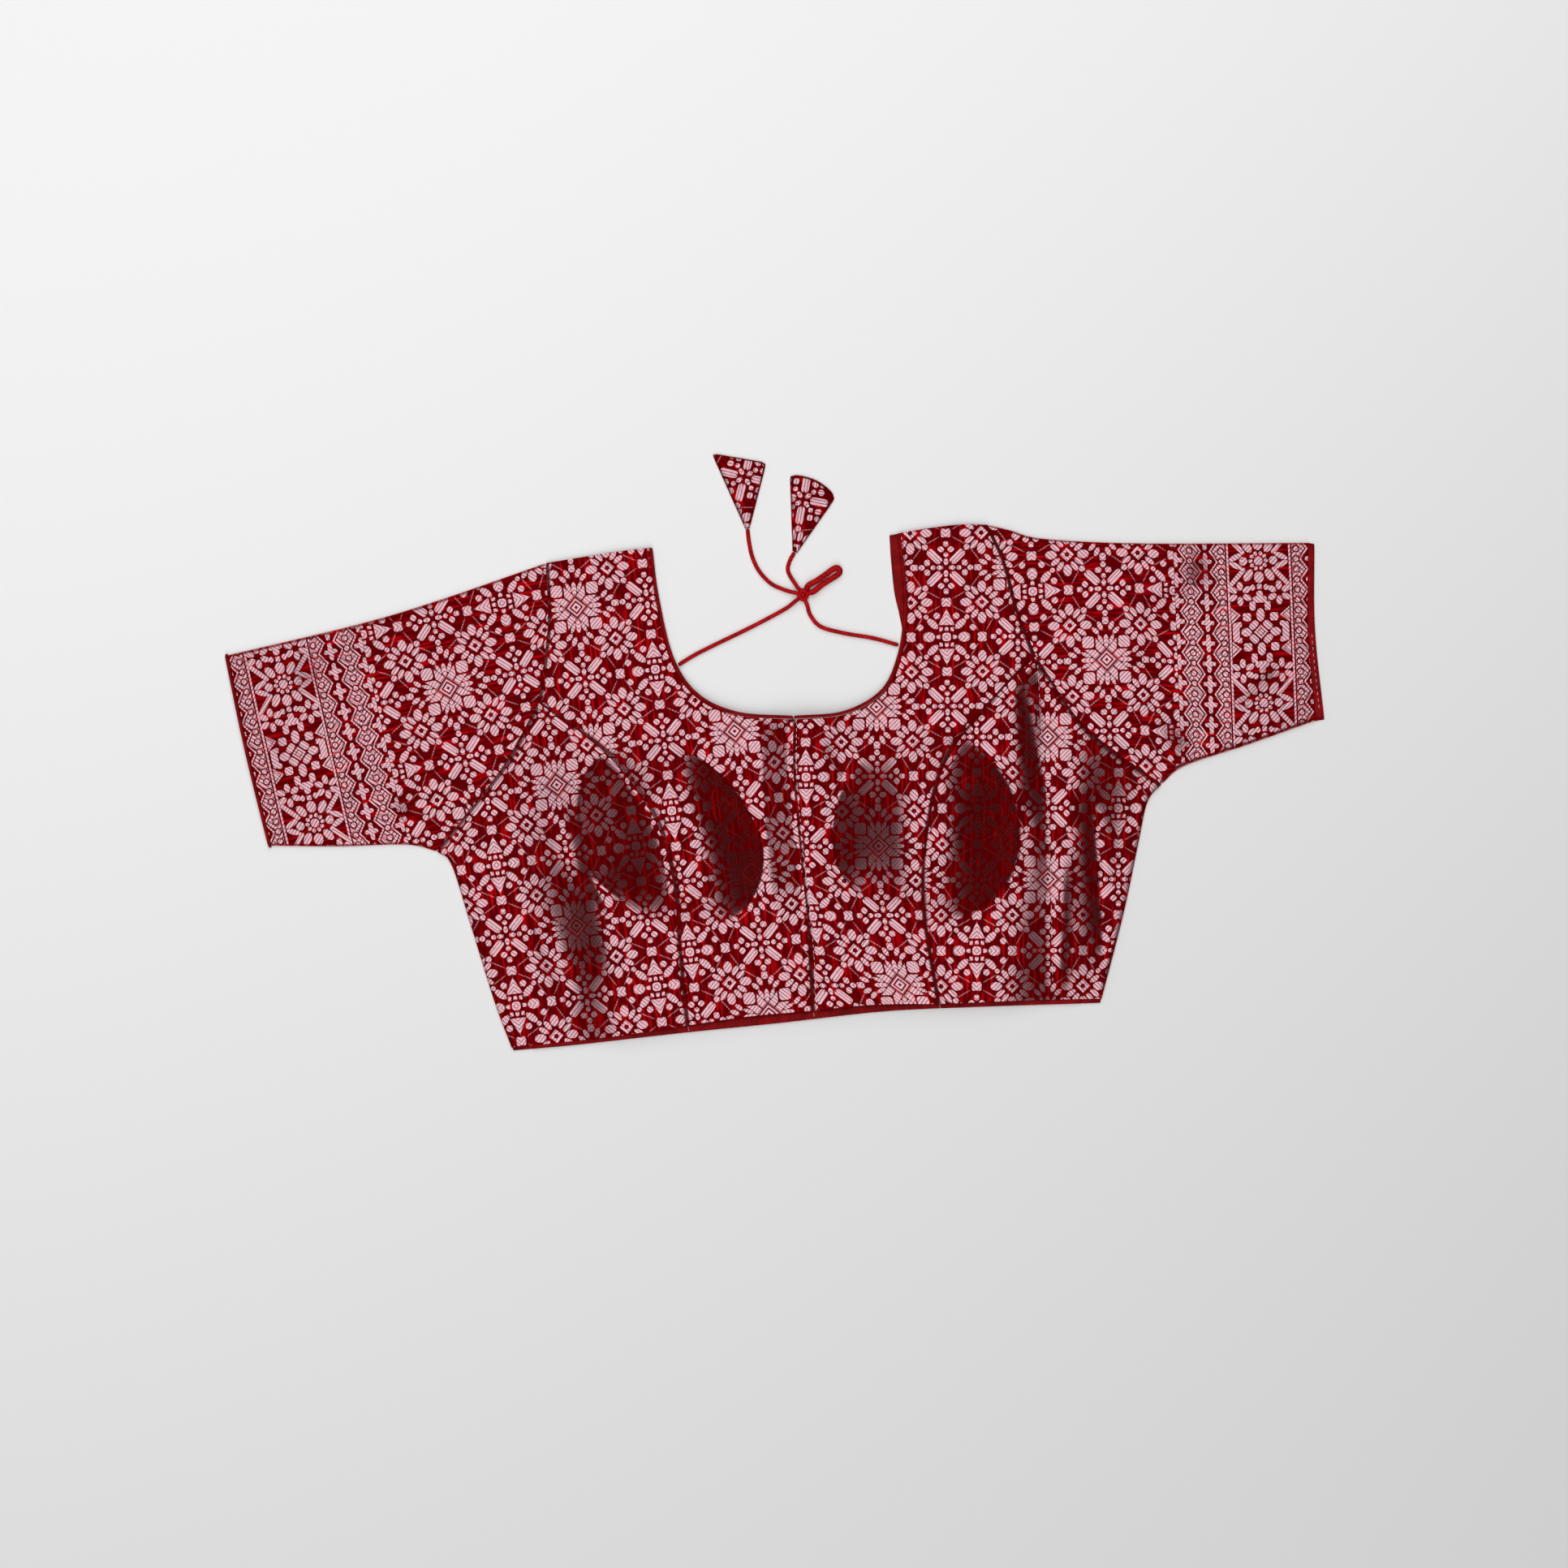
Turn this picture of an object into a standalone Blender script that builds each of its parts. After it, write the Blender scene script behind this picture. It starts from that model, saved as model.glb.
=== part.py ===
"""A short-sleeved brocade saree blouse laid flat with its front up, for Blender 4.5.

Lengths are in millimetres until a mesh is made. X runs across the blouse, Y from the hem to the shoulders and
Z up from the surface that it lies on. Left and right are those of a viewer who looks straight down at it.
The back is a flat piece on the surface. The front is four pieces that rest on it, raised over two bust cups
by one height function. Each sleeve is a tube pressed flat. Plain red strips bind the edges, and two cords
from the back neck are knotted in the neck opening.
"""
import bpy
import bmesh
import math
from mathutils import Vector

MM = 0.001
COLLECTION = "brocade_blouse"

# Cloth and seams.
WALL = 1.3            # brocade with its lining
SEAM = 0.3            # clear space between two pieces that are sewn together
BINDING_RADIUS = 1.2  # rolled binding of the neck and the left cuff
BINDING_LIFT = 0.1    # the cuff binding's lower run clears the surface by this
FACING = 0.9          # thickness of a folded red strip
CORD_RADIUS = 1.45    # rolled neck cord

# Heights above the surface.
FRONT_BOTTOM = WALL + SEAM
FRONT_TOP = FRONT_BOTTOM + WALL
SLEEVE_FOLD_TOP = 3.4   # top of a sleeve beside its folded edge
SLEEVE_RISE = 1.8       # how much higher its middle is
SLEEVE_ROLL = 2.4       # width of the rolled edge
FOLD_SETBACK = 1.0      # a folded edge starts this far from the armhole seam

SLEEVE_BLEND = (0.06, 0.3)   # shares of its length between which a sleeve takes its own height

# The raised body of the front, and between which x or y it falls away.
ARCH = 8.0
ARCH_AT_SHOULDER = 0.08
ARCH_AT_HEM = 0.72
LEFT_FALL_FROM = ((-206.0, 20.0), (-194.0, -46.0), (-176.0, -106.0), (-148.0, -186.0))
LEFT_FALL_TO = ((-96.0, 20.0), (-112.0, -46.0), (-112.0, -106.0), (-98.0, -186.0))
RIGHT_FALL = (156.0, 208.0)
RIGHT_FALL_SHARE = 0.35      # the rest of the fall is beside the right side seam
SIDE_FALL_WIDTH = 78.0
SHOULDER_FALL = (-8.0, 96.0)
HEM_FALL = (-180.0, -110.0)

# The closed centre front stands up beside the underlap.
PLACKET_RISE = 5.0
PLACKET_WIDTH = 24.0         # of the climb on its left
PLACKET_FALL = 66.0          # of the fall on its right
PLACKET_FOOT = (-128.0, -60.0)
PLACKET_HEAD = (40.0, 62.0)

# Bust cups: centre, reach to the left, right, up and down, how far the ridge leans to the left for each mm above
# and below the centre, the power of the left and the right half, and height. A higher power makes the top
# flatter and the rim steeper.
CUPS = {
    #         x       y     left  right   up    down  above below  left right height
    "left":  (-68.0, -40.0, 66.0, 60.0, 74.0, 64.0, 0.30, 0.15, 1.5, 2.3, 20.0),
    "right": (107.6, -36.0, 66.0, 66.0, 80.0, 64.0, 0.0, 0.0, 1.5, 2.3, 21.0),
}
CUP_ENDS = 1.5        # how fast a cup's height falls toward its upper and lower end

# Soft folds: crest from x1, y1 to x2, y2, half width and height. A negative height is a trough.
FOLDS = {
    #                     x1      y1      x2      y2    width height
    "left_bust_drape":   (-128.0, -56.0, -108.0, -128.0, 16.0, 1.7),
    "right_strap_drape": (166.0, 84.0, 172.0, -12.0, 20.0, 2.7),
    "right_side_crease": (191.0, 82.0, 196.5, -50.0, 7.0, -0.8),
    "right_side_ridge":  (214.0, 34.0, 219.0, -128.0, 19.0, 1.1),
    "left_sleeve_fold":  (-330.0, 78.0, -262.0, 96.0, 16.0, 1.6),
    "left_cap_fold":     (-226.0, 8.0, -262.0, -20.0, 15.0, 1.7),
    "right_sleeve_fold": (246.0, 132.0, 300.0, 158.0, 15.0, 1.6),
    "right_cap_fold":    (228.0, 62.0, 284.0, 26.0, 13.0, 1.9),
}
FOLD_FADE_OUT = 0.25  # a fold ends this share of its length past its crest's ends
FOLD_FADE_IN = 0.2    # and has its full height this share inside them

# Seams and edges, each as the places x, y that it passes. A smooth line joins them.
SHOULDER_LEFT = ((-162.1, 159.5), (-111.6, 167.6), (-86.1, 170.5))
SHOULDER_RIGHT = ((89.0, 180.6), (108.2, 183.9), (133.7, 187.0), (153.4, 186.8))
NECK_LEFT = ((-86.1, 170.5), (-81.5, 135.7), (-71.0, 92.6), (-53.6, 66.7), (-25.2, 53.4), (14.6, 50.4))
NECK_RIGHT = ((89.0, 180.6), (92.4, 150.0), (93.2, 124.0), (88.8, 94.0), (76.9, 69.0), (50.2, 53.9), (14.6, 50.4))
CENTRE = ((14.6, 50.4), (14.8, 5.8), (20.0, -52.2), (26.4, -112.5), (28.6, -159.8))
ARMHOLE_LEFT_UPPER = ((-162.1, 159.5), (-160.6, 114.0), (-167.3, 59.7))
ARMHOLE_LEFT_LOWER = ((-167.3, 59.7), (-194.8, 11.0), (-240.0, -46.4))
ARMHOLE_RIGHT_UPPER = ((153.4, 186.8), (165.6, 160.0), (175.5, 123.5), (187.6, 93.0))
ARMHOLE_RIGHT_LOWER = ((187.6, 93.0), (216.6, 49.3), (242.7, 26.1), (277.5, 1.7))
PRINCESS_LEFT = ((-167.3, 59.7), (-120.4, 24.9), (-86.1, -18.6), (-71.6, -62.6), (-66.2, -118.0), (-61.2, -170.4))
PRINCESS_RIGHT = ((187.6, 93.0), (152.3, 57.4), (120.9, 13.3), (108.2, -40.6), (107.6, -86.0), (118.6, -155.0))
SIDE_LEFT = ((-240.0, -46.4), (-229.6, -56.0), (-215.5, -100.3), (-198.7, -154.3), (-186.6, -186.6))
SIDE_RIGHT = ((277.5, 1.7), (267.4, -11.0), (260.7, -41.2), (250.3, -90.5), (234.6, -151.6))
HEM_LEFT_SIDE = ((-186.6, -186.6), (-120.4, -179.2), (-61.2, -170.4))
HEM_LEFT_CENTRE = ((-61.2, -170.4), (-18.3, -164.1), (28.6, -159.8))
HEM_RIGHT_CENTRE = ((28.6, -159.8), (72.0, -155.6), (118.6, -155.0))
HEM_RIGHT_SIDE = ((118.6, -155.0), (176.0, -152.8), (234.6, -151.6))
BACK_HEM = ((-185.4, -188.6), (-137.2, -184.2), (-60.6, -175.6), (4.4, -169.0), (78.0, -160.8), (143.0, -157.6),
            (233.6, -154.6))
BACK_SHOULDER_LEFT = ((-162.1, 159.5), (-88.6, 170.3))
BACK_SHOULDER_RIGHT = ((83.2, 179.3), (108.2, 183.9), (153.4, 186.8))
BACK_NECK_RIGHT = ((89.9, 124.6), (86.7, 138.6), (84.4, 160.7), (83.2, 179.3))
BACK_NECK = ((-88.6, 170.3), (-84.0, 135.0), (-73.4, 92.0), (-58.0, 58.0), (-28.0, 22.0), (14.6, 9.0),
             (58.0, 22.0), (84.0, 58.0), (93.0, 98.0)) + BACK_NECK_RIGHT
SLEEVE_LEFT_TOP = ((-162.1, 159.5), (-241.0, 132.2), (-297.8, 115.4), (-391.4, 93.2))
SLEEVE_LEFT_CUFF = ((-391.4, 93.2), (-377.3, 27.0), (-360.6, -42.3))
SLEEVE_LEFT_UNDER = ((-240.0, -46.4), (-262.0, -41.6), (-310.0, -42.8), (-360.6, -42.3))
SLEEVE_RIGHT_TOP = ((153.4, 186.8), (170.2, 182.7), (193.4, 176.9), (263.0, 173.6), (382.2, 174.0))
SLEEVE_RIGHT_CUFF = ((382.2, 174.0), (381.6, 112.0), (387.2, 47.0))
SLEEVE_RIGHT_UNDER = ((277.5, 1.7), (294.4, 14.8), (340.8, 30.4), (387.2, 47.0))
CUFF_FACING_TOP = 4.4      # how far the right sleeve's lower layer reaches past its upper one
CUFF_FACING_UNDER = 6.6

# Grid of each panel: segments along each boundary.
ARMHOLE_UPPER_STEPS = 11
NECK_LEFT_STEPS = 14
NECK_RIGHT_STEPS = 17
ARMHOLE_LOWER_STEPS = 12
PRINCESS_STEPS = 19
CENTRE_COLUMNS = 12
SLEEVE_LENGTHWISE = 15
BACK_SHOULDER_STEPS = 4
BACK_NECK_STEPS = 26
BACK_SIDE_STEPS = 14
BACK_HEM_STEPS = 20
HEM_FACING_STEPS = 24
NECK_FACING_STEPS = 8
CORD_STEP = 1.2       # a cord's segments, in diameters
CORD_LEAST_STEPS = 5
KNOT_SEGMENTS = (14, 8)
LINE_STEPS = 30       # places along a smooth line between two of the points that it passes
NEARLY_STRAIGHT = 0.05    # sine of a corner's turn below which its two sides count as one line
MERGE = 1e-6          # distance in metres at which the seam of a tube is welded
ROUND_CORD = 2        # bevel resolution of a cord, which gives it eight sides

# Neck cords: places x, y, z that each passes between its free end and the knot.
CORD_LEFT = ((-67.7, 86.7, 1.7), (-52.0, 96.0, 1.6), (-16.0, 113.6, 1.6), (8.0, 126.4, 1.8))
CORD_RIGHT = ((89.7, 100.9, 1.7), (72.0, 105.8, 1.6), (50.0, 109.6, 1.6), (34.0, 114.2, 1.7), (26.8, 122.0, 1.9))
TAIL_LEFT = ((-18.25, 184.05, 1.6), (-17.0, 173.6, 1.6), (-14.6, 163.4, 1.6), (-9.8, 153.6, 1.6),
             (-1.6, 145.0, 1.6), (7.6, 140.6, 1.9))
TAIL_RIGHT = ((15.44, 167.3, 1.6), (11.8, 160.6, 1.6), (10.8, 153.4, 1.7))
BOW_LOOP = ((31.85, 147.34, 2.1), (37.57, 151.36, 1.7), (42.83, 155.19, 1.7), (45.57, 156.14, 1.7),
            (47.27, 155.07, 1.7), (47.65, 153.1, 1.7), (45.75, 150.89, 1.7), (40.27, 147.4, 1.7),
            (34.43, 143.54, 2.1))
KNOT_CENTRE = (21.4, 136.8, 3.2)
KNOT_SIZE = (8.6, 9.6, 5.6)
KNOT_SEAM = 0.4       # clear space between a cord's end and the knot
KNOT_LEAD = 3.2       # each cord runs straight into the knot over this length
KNOT_CLIMB = 0.3      # and rises by this on the way
# Where each cord enters the knot, in degrees round it from +X.
KNOT_ENTRIES = {"left": 219.0, "right": 292.0, "tail_left": 166.0, "tail_right": 126.0, "loop_out": 58.0,
                "loop_back": 17.0}
TIE_END_THICK = 2.4
TIE_END_LEFT = ((-19.9, 184.2), (-43.8, 238.0), (-4.6, 231.4), (-16.7, 184.6))
TIE_END_RIGHT = ((13.9, 168.4), (12.0, 222.6), (23.0, 222.0), (44.9, 206.5), (17.2, 166.8))

# Linear colours, roughness and metallic of the cloths.
BROCADE = ((0.45, 0.16, 0.18), 0.45, 0.3)
PLAIN_RED = ((0.24, 0.004, 0.008), 0.7, 0.0)
SHARP_ANGLE = 50.0    # edges that turn more than this stay sharp, in degrees

# Centre of the blouse's outline in this file's X and Y, which goes to the origin.
OUTLINE_CENTRE = (1.08, -0.72)


def smooth_line(points):
    """Places along a Catmull-Rom curve through the points, close together."""
    control = [Vector(p) for p in points]
    control = [control[0] * 2 - control[1]] + control + [control[-1] * 2 - control[-2]]
    line = []
    for i in range(1, len(control) - 2):
        before, start, end, after = control[i - 1:i + 3]
        for step in range(LINE_STEPS):
            t = step / LINE_STEPS
            line.append(0.5 * ((2 * start) + (end - before) * t
                               + (2 * before - 5 * start + 4 * end - after) * t ** 2
                               + (3 * start - before - 3 * end + after) * t ** 3))
    line.append(control[-2])
    return line


def along(points, count):
    """count + 1 places spread evenly along the smooth line through the points."""
    line = smooth_line(points)
    reach = [0.0]
    for start, end in zip(line, line[1:]):
        reach.append(reach[-1] + (end - start).length)
    places = []
    segment = 0
    for i in range(count + 1):
        wanted = reach[-1] * i / count
        while segment < len(line) - 2 and reach[segment + 1] < wanted:
            segment += 1
        span = reach[segment + 1] - reach[segment]
        places.append(line[segment].lerp(line[segment + 1], (wanted - reach[segment]) / span))
    return places


def smoothstep(low, high, value):
    """0 below low, 1 above high and a soft rise between them."""
    t = min(1.0, max(0.0, (value - low) / (high - low)))
    return t * t * (3 - 2 * t)


def armhole_line(upper, lower):
    """A whole armhole, from the shoulder to the underarm."""
    return along(upper, ARMHOLE_UPPER_STEPS)[:-1] + along(lower, ARMHOLE_LOWER_STEPS)


def x_at(points, y):
    """Where a seam that runs down the blouse is at the height y."""
    rows = sorted(points, key=lambda p: -p[1])
    if y >= rows[0][1]:
        return rows[0][0]
    for upper, lower in zip(rows, rows[1:]):
        if y >= lower[1]:
            return lower[0] + (upper[0] - lower[0]) * (y - lower[1]) / (upper[1] - lower[1])
    return rows[-1][0]


def cup_height(x, y):
    """The cups are domes with an egg-shaped foot, each with one power of its width on either side."""
    height = 0.0
    for centre_x, centre_y, left, right, up, down, above, below, power_left, power_right, tall in CUPS.values():
        away = x - centre_x + (above if y > centre_y else below) * (y - centre_y)
        upward = (y - centre_y) / (up if y > centre_y else down)
        ends = 1.0 - upward * upward
        if ends <= 0.0:
            continue
        reach = abs(away) / (left if away < 0.0 else right) / math.sqrt(ends)
        power = power_left if away < 0.0 else power_right
        height += tall * ends ** CUP_ENDS * max(0.0, 1.0 - reach ** power)
    return height


def fold_height(x, y):
    """Each fold is a soft ridge or trough that fades at both ends."""
    height = 0.0
    place = Vector((x, y))
    for x1, y1, x2, y2, width, tall in FOLDS.values():
        start = Vector((x1, y1))
        crest = Vector((x2, y2)) - start
        t = (place - start).dot(crest) / crest.length_squared
        distance = (place - start - crest * t).length / width
        fade = (smoothstep(-FOLD_FADE_OUT, FOLD_FADE_IN, t)
                * smoothstep(-FOLD_FADE_OUT, FOLD_FADE_IN, 1.0 - t))
        height += tall * fade * math.exp(-distance * distance)
    return height


def placket_height(x, y):
    """The left front climbs to the closed centre, and the right front falls back from it."""
    centre = x_at(CENTRE, y)
    fade = smoothstep(*PLACKET_FOOT, y) * (1.0 - smoothstep(*PLACKET_HEAD, y))
    rise = 1.0 - abs(x - centre) / PLACKET_WIDTH
    if x > centre:
        rise = 1.0 - smoothstep(0.0, PLACKET_FALL, x - centre)
    return PLACKET_RISE * fade * max(0.0, rise)


def front_height(x, y):
    """Top of the front above the surface."""
    from_side = x_at(SIDE_RIGHT, y) - x
    right_fall = (RIGHT_FALL_SHARE * (1.0 - smoothstep(*RIGHT_FALL, x))
                  + (1.0 - RIGHT_FALL_SHARE) * smoothstep(0.0, SIDE_FALL_WIDTH, from_side))
    toward_shoulder = 1.0 - (1.0 - ARCH_AT_SHOULDER) * smoothstep(*SHOULDER_FALL, y)
    toward_hem = ARCH_AT_HEM + (1.0 - ARCH_AT_HEM) * smoothstep(*HEM_FALL, y)
    left_fall = smoothstep(x_at(LEFT_FALL_FROM, y), x_at(LEFT_FALL_TO, y), x)
    body = ARCH * left_fall * right_fall * toward_shoulder * toward_hem
    return FRONT_TOP + max(0.0, body + placket_height(x, y) + cup_height(x, y) + fold_height(x, y))


def sleeve_height(x, y, along_sleeve, across):
    """Top of a sleeve's upper layer: level with the front at the armhole, then a soft rise to its middle."""
    middle = 4.0 * across * (1.0 - across)
    own = SLEEVE_FOLD_TOP + SLEEVE_RISE * middle + fold_height(x, y)
    at_armhole = front_height(x, y)
    share = smoothstep(*SLEEVE_BLEND, along_sleeve)
    return at_armhole + (own - at_armhole) * share


def inset(loop, gaps):
    """Moves each side of a closed clockwise outline inward by its own gap and returns the new corners."""
    count = len(loop)
    moved = []
    for i in range(count):
        before = loop[i] - loop[i - 1]
        after = loop[(i + 1) % count] - loop[i]
        first = Vector((before.y, -before.x)).normalized()
        second = Vector((after.y, -after.x)).normalized()
        gap_1 = gaps[i - 1]
        gap_2 = gaps[i]
        turn = first.x * second.y - first.y * second.x
        if abs(turn) < NEARLY_STRAIGHT:
            moved.append(loop[i] + (first + second).normalized() * (gap_1 + gap_2) / 2)
        else:
            moved.append(loop[i] + Vector((gap_1 * second.y - gap_2 * first.y,
                                           gap_2 * first.x - gap_1 * second.x)) / turn)
    return moved


def panel_plan(top, right, bottom, left, gaps):
    """Plan of a four-sided panel as rows from its top to its bottom, each from left to right.

    top runs left to right, right and left run downward and bottom runs left to right. gaps are the distances
    that the four edges keep from the lines given, as top, right, bottom, left.
    """
    columns = len(top) - 1
    rows = len(left) - 1
    loop = top[:-1] + right[:-1] + bottom[:0:-1] + left[:0:-1]
    loop = inset(loop, [gaps[0]] * columns + gaps[1] + [gaps[2]] * columns + gaps[3][::-1])
    corner_2 = columns + rows
    top_in = loop[:columns + 1]
    right_in = loop[columns:corner_2 + 1]
    bottom_in = loop[corner_2:corner_2 + columns + 1][::-1]
    left_in = (loop[corner_2 + columns:] + [loop[0]])[::-1]
    plan = []
    for i in range(rows + 1):
        v = i / rows
        row = []
        for j in range(columns + 1):
            u = j / columns
            sides = left_in[i] * (1 - u) + right_in[i] * u
            ends = top_in[j] * (1 - v) + bottom_in[j] * v
            corners = ((top_in[0] * (1 - u) + top_in[-1] * u) * (1 - v)
                       + (bottom_in[0] * (1 - u) + bottom_in[-1] * u) * v)
            row.append(sides + ends - corners)
        plan.append(row)
    return plan


def material(name, colour, roughness, metallic):
    """Principled material of one cloth."""
    made = bpy.data.materials.get(name)
    if made is None:
        made = bpy.data.materials.new(name)
        made.use_nodes = True
        shader = made.node_tree.nodes["Principled BSDF"]
        shader.inputs["Base Color"].default_value = (*colour, 1.0)
        shader.inputs["Roughness"].default_value = roughness
        shader.inputs["Metallic"].default_value = metallic
        made.diffuse_color = (*colour, 1.0)
    return made


def brocade(name):
    """Red satin with silver thread."""
    return material(name + "_brocade", *BROCADE)


def plain_red(name):
    """Plain red cotton."""
    return material(name + "_red", *PLAIN_RED)


def add_object(name, data, cloth):
    """Puts a mesh or a curve in the blouse's collection under the root."""
    made = bpy.data.objects.new(name, data)
    data.materials.append(cloth)
    bpy.data.collections[COLLECTION].objects.link(made)
    made.parent = bpy.data.objects["blouse_root"]
    return made


def grid_mesh(name, points):
    """A grid mesh whose places are given as rows of x, y, z."""
    rows = len(points) - 1
    columns = len(points[0]) - 1
    sheet = bmesh.new()
    bmesh.ops.create_grid(sheet, x_segments=columns, y_segments=rows, size=1.0)
    for vertex in sheet.verts:
        column = round((vertex.co.x + 1) / 2 * columns)
        row = round((1 - vertex.co.y) / 2 * rows)
        vertex.co = Vector(points[row][column]) * MM
    mesh = bpy.data.meshes.new(name)
    return mesh, sheet


def cloth_panel(name, plan, height, cloth):
    """A panel over its plan: the grid is its upper side, extruded straight down by the wall."""
    points = [[(p.x, p.y, height(p.x, p.y)) for p in row] for row in plan]
    mesh, sheet = grid_mesh(name, points)
    made = bmesh.ops.extrude_face_region(sheet, geom=list(sheet.faces), use_keep_orig=True)
    lower = [item for item in made["geom"] if isinstance(item, bmesh.types.BMVert)]
    bmesh.ops.translate(sheet, verts=lower, vec=Vector((0, 0, -WALL * MM)))
    bmesh.ops.recalc_face_normals(sheet, faces=list(sheet.faces))
    sheet.to_mesh(mesh)
    sheet.free()
    add_object(name, mesh, cloth)
    mesh.shade_smooth()
    mesh.set_sharp_from_angle(angle=math.radians(SHARP_ANGLE))


def neck_binding(name, edge, cloth_on_left):
    """A rolled binding beside a front's neck edge, from the shoulder to the centre front."""
    away = SEAM + BINDING_RADIUS
    places = []
    for i, place in enumerate(edge):
        ahead = (edge[min(i + 1, len(edge) - 1)] - edge[max(i - 1, 0)]).normalized()
        aside = Vector((-ahead.y, ahead.x)) * (away if cloth_on_left else -away)
        spot = place + aside
        places.append(Vector((spot.x, spot.y, front_height(place.x, place.y) - WALL / 2)))
    places[-1] += (places[-2] - places[-1]).normalized() * SEAM
    tube(name, places, BINDING_RADIUS, plain_red("trim"))


def front_panels():
    """The four front pieces, which meet at the centre front and at the princess seams."""
    piping = 2 * BINDING_RADIUS + SEAM
    half = SEAM / 2
    rows = ARMHOLE_UPPER_STEPS + PRINCESS_STEPS
    seam_gaps = [half] * rows
    sides = {
        "left": (ARMHOLE_LEFT_UPPER, ARMHOLE_LEFT_LOWER, PRINCESS_LEFT, NECK_LEFT, SIDE_LEFT,
                 SHOULDER_LEFT, HEM_LEFT_CENTRE, HEM_LEFT_SIDE, NECK_LEFT_STEPS),
        "right": (ARMHOLE_RIGHT_UPPER, ARMHOLE_RIGHT_LOWER, PRINCESS_RIGHT, NECK_RIGHT, SIDE_RIGHT,
                  SHOULDER_RIGHT, HEM_RIGHT_CENTRE, HEM_RIGHT_SIDE, NECK_RIGHT_STEPS),
    }
    for side, row in sides.items():
        upper, lower, princess, neck, side_seam, shoulder, hem_centre, hem_side, neck_steps = row
        armhole = along(upper, ARMHOLE_UPPER_STEPS)[:-1]
        seam = along(princess, PRINCESS_STEPS)
        neck_line = along(neck, neck_steps)[:-1]
        centre = along(CENTRE, rows - neck_steps)
        neck_gaps = [piping] * neck_steps + [half] * (rows - neck_steps)
        outer = armhole + seam
        inner = neck_line + centre
        top = along(shoulder, CENTRE_COLUMNS)
        bottom = along(hem_centre, CENTRE_COLUMNS)
        if side == "left":
            plan = panel_plan(top, inner, bottom, outer, (0.0, neck_gaps, 0.0, seam_gaps))
        else:
            plan = panel_plan(top, outer, bottom, inner, (0.0, seam_gaps, 0.0, neck_gaps))
        cloth_panel("front_centre_" + side, plan, front_height, brocade("front"))
        neck_edge = [row[-1 if side == "left" else 0] for row in plan[:neck_steps + 1]]
        neck_binding("neck_piping_" + side, neck_edge, side == "left")

        top = along(lower, ARMHOLE_LOWER_STEPS)
        bottom = along(hem_side, ARMHOLE_LOWER_STEPS)
        side_line = along(side_seam, PRINCESS_STEPS)
        free = [0.0] * PRINCESS_STEPS
        sewn = [half] * PRINCESS_STEPS
        if side == "left":
            plan = panel_plan(top[::-1], seam, bottom, side_line, (half, sewn, 0.0, free))
        else:
            plan = panel_plan(top, side_line, bottom, seam, (half, free, 0.0, sewn))
        cloth_panel("front_side_" + side, plan, front_height, brocade("front"))


def flat_piece(name, loops, bottom, thick, cloth):
    """A flat outline with thickness: a filled 2D curve with half of the thickness as its extrude."""
    curve = bpy.data.curves.new(name, "CURVE")
    curve.dimensions = "2D"
    curve.fill_mode = "BOTH"
    curve.extrude = thick / 2 * MM
    for loop in loops:
        spline = curve.splines.new("POLY")
        spline.points.add(len(loop) - 1)
        for point, place in zip(spline.points, loop):
            point.co = (place.x * MM, place.y * MM, 0.0, 1.0)
        spline.use_cyclic_u = True
    made = add_object(name, curve, cloth)
    made.location.z = (bottom + thick / 2) * MM


def back_piece():
    """The back, flat on the surface, with its own deep neck."""
    armhole_left = armhole_line(ARMHOLE_LEFT_UPPER, ARMHOLE_LEFT_LOWER)
    armhole_right = armhole_line(ARMHOLE_RIGHT_UPPER, ARMHOLE_RIGHT_LOWER)
    parts = (
        (along(BACK_SHOULDER_LEFT, BACK_SHOULDER_STEPS), 0.0),
        (along(BACK_NECK, BACK_NECK_STEPS), 0.0),
        (along(BACK_SHOULDER_RIGHT, BACK_SHOULDER_STEPS), 0.0),
        (armhole_right, SEAM / 2),
        (along(SIDE_RIGHT + BACK_HEM[-1:], BACK_SIDE_STEPS), 0.0),
        (along(BACK_HEM, BACK_HEM_STEPS)[::-1], 0.0),
        (along(BACK_HEM[:1] + SIDE_LEFT[::-1], BACK_SIDE_STEPS), 0.0),
        (armhole_left[::-1], SEAM / 2),
    )
    loop = []
    gaps = []
    for line, gap in parts:
        loop += line[:-1]
        gaps += [gap] * (len(line) - 1)
    flat_piece("back_panel", [inset(loop, gaps)], 0.0, WALL, brocade("back"))


def strip_between(name, inner, outer, bottom, thick, cloth):
    """A narrow flat strip between two lines that run the same way."""
    flat_piece(name, [inner + outer[::-1]], bottom, thick, cloth)


def facings():
    """Plain red strips that show past the front: along the back hem and inside the right strap."""
    hem_line = along(HEM_LEFT_SIDE[:-1] + HEM_LEFT_CENTRE[:-1] + HEM_RIGHT_CENTRE[:-1] + HEM_RIGHT_SIDE,
                     HEM_FACING_STEPS)
    inner = [p + Vector((0.0, -SEAM)) for p in hem_line[1:-1]]
    outer = along(BACK_HEM, HEM_FACING_STEPS)[1:-1]
    strip_between("hem_facing_back", inner, outer, FRONT_BOTTOM, FACING, plain_red("trim"))

    neck = along(NECK_RIGHT[:3], NECK_FACING_STEPS)
    edge = along(BACK_NECK_RIGHT[::-1], NECK_FACING_STEPS)
    inner = [p + Vector((-SEAM, 0.0)) for p in neck]
    strip_between("neck_facing_back", inner, edge, FRONT_BOTTOM, FACING, plain_red("trim"))


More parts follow.
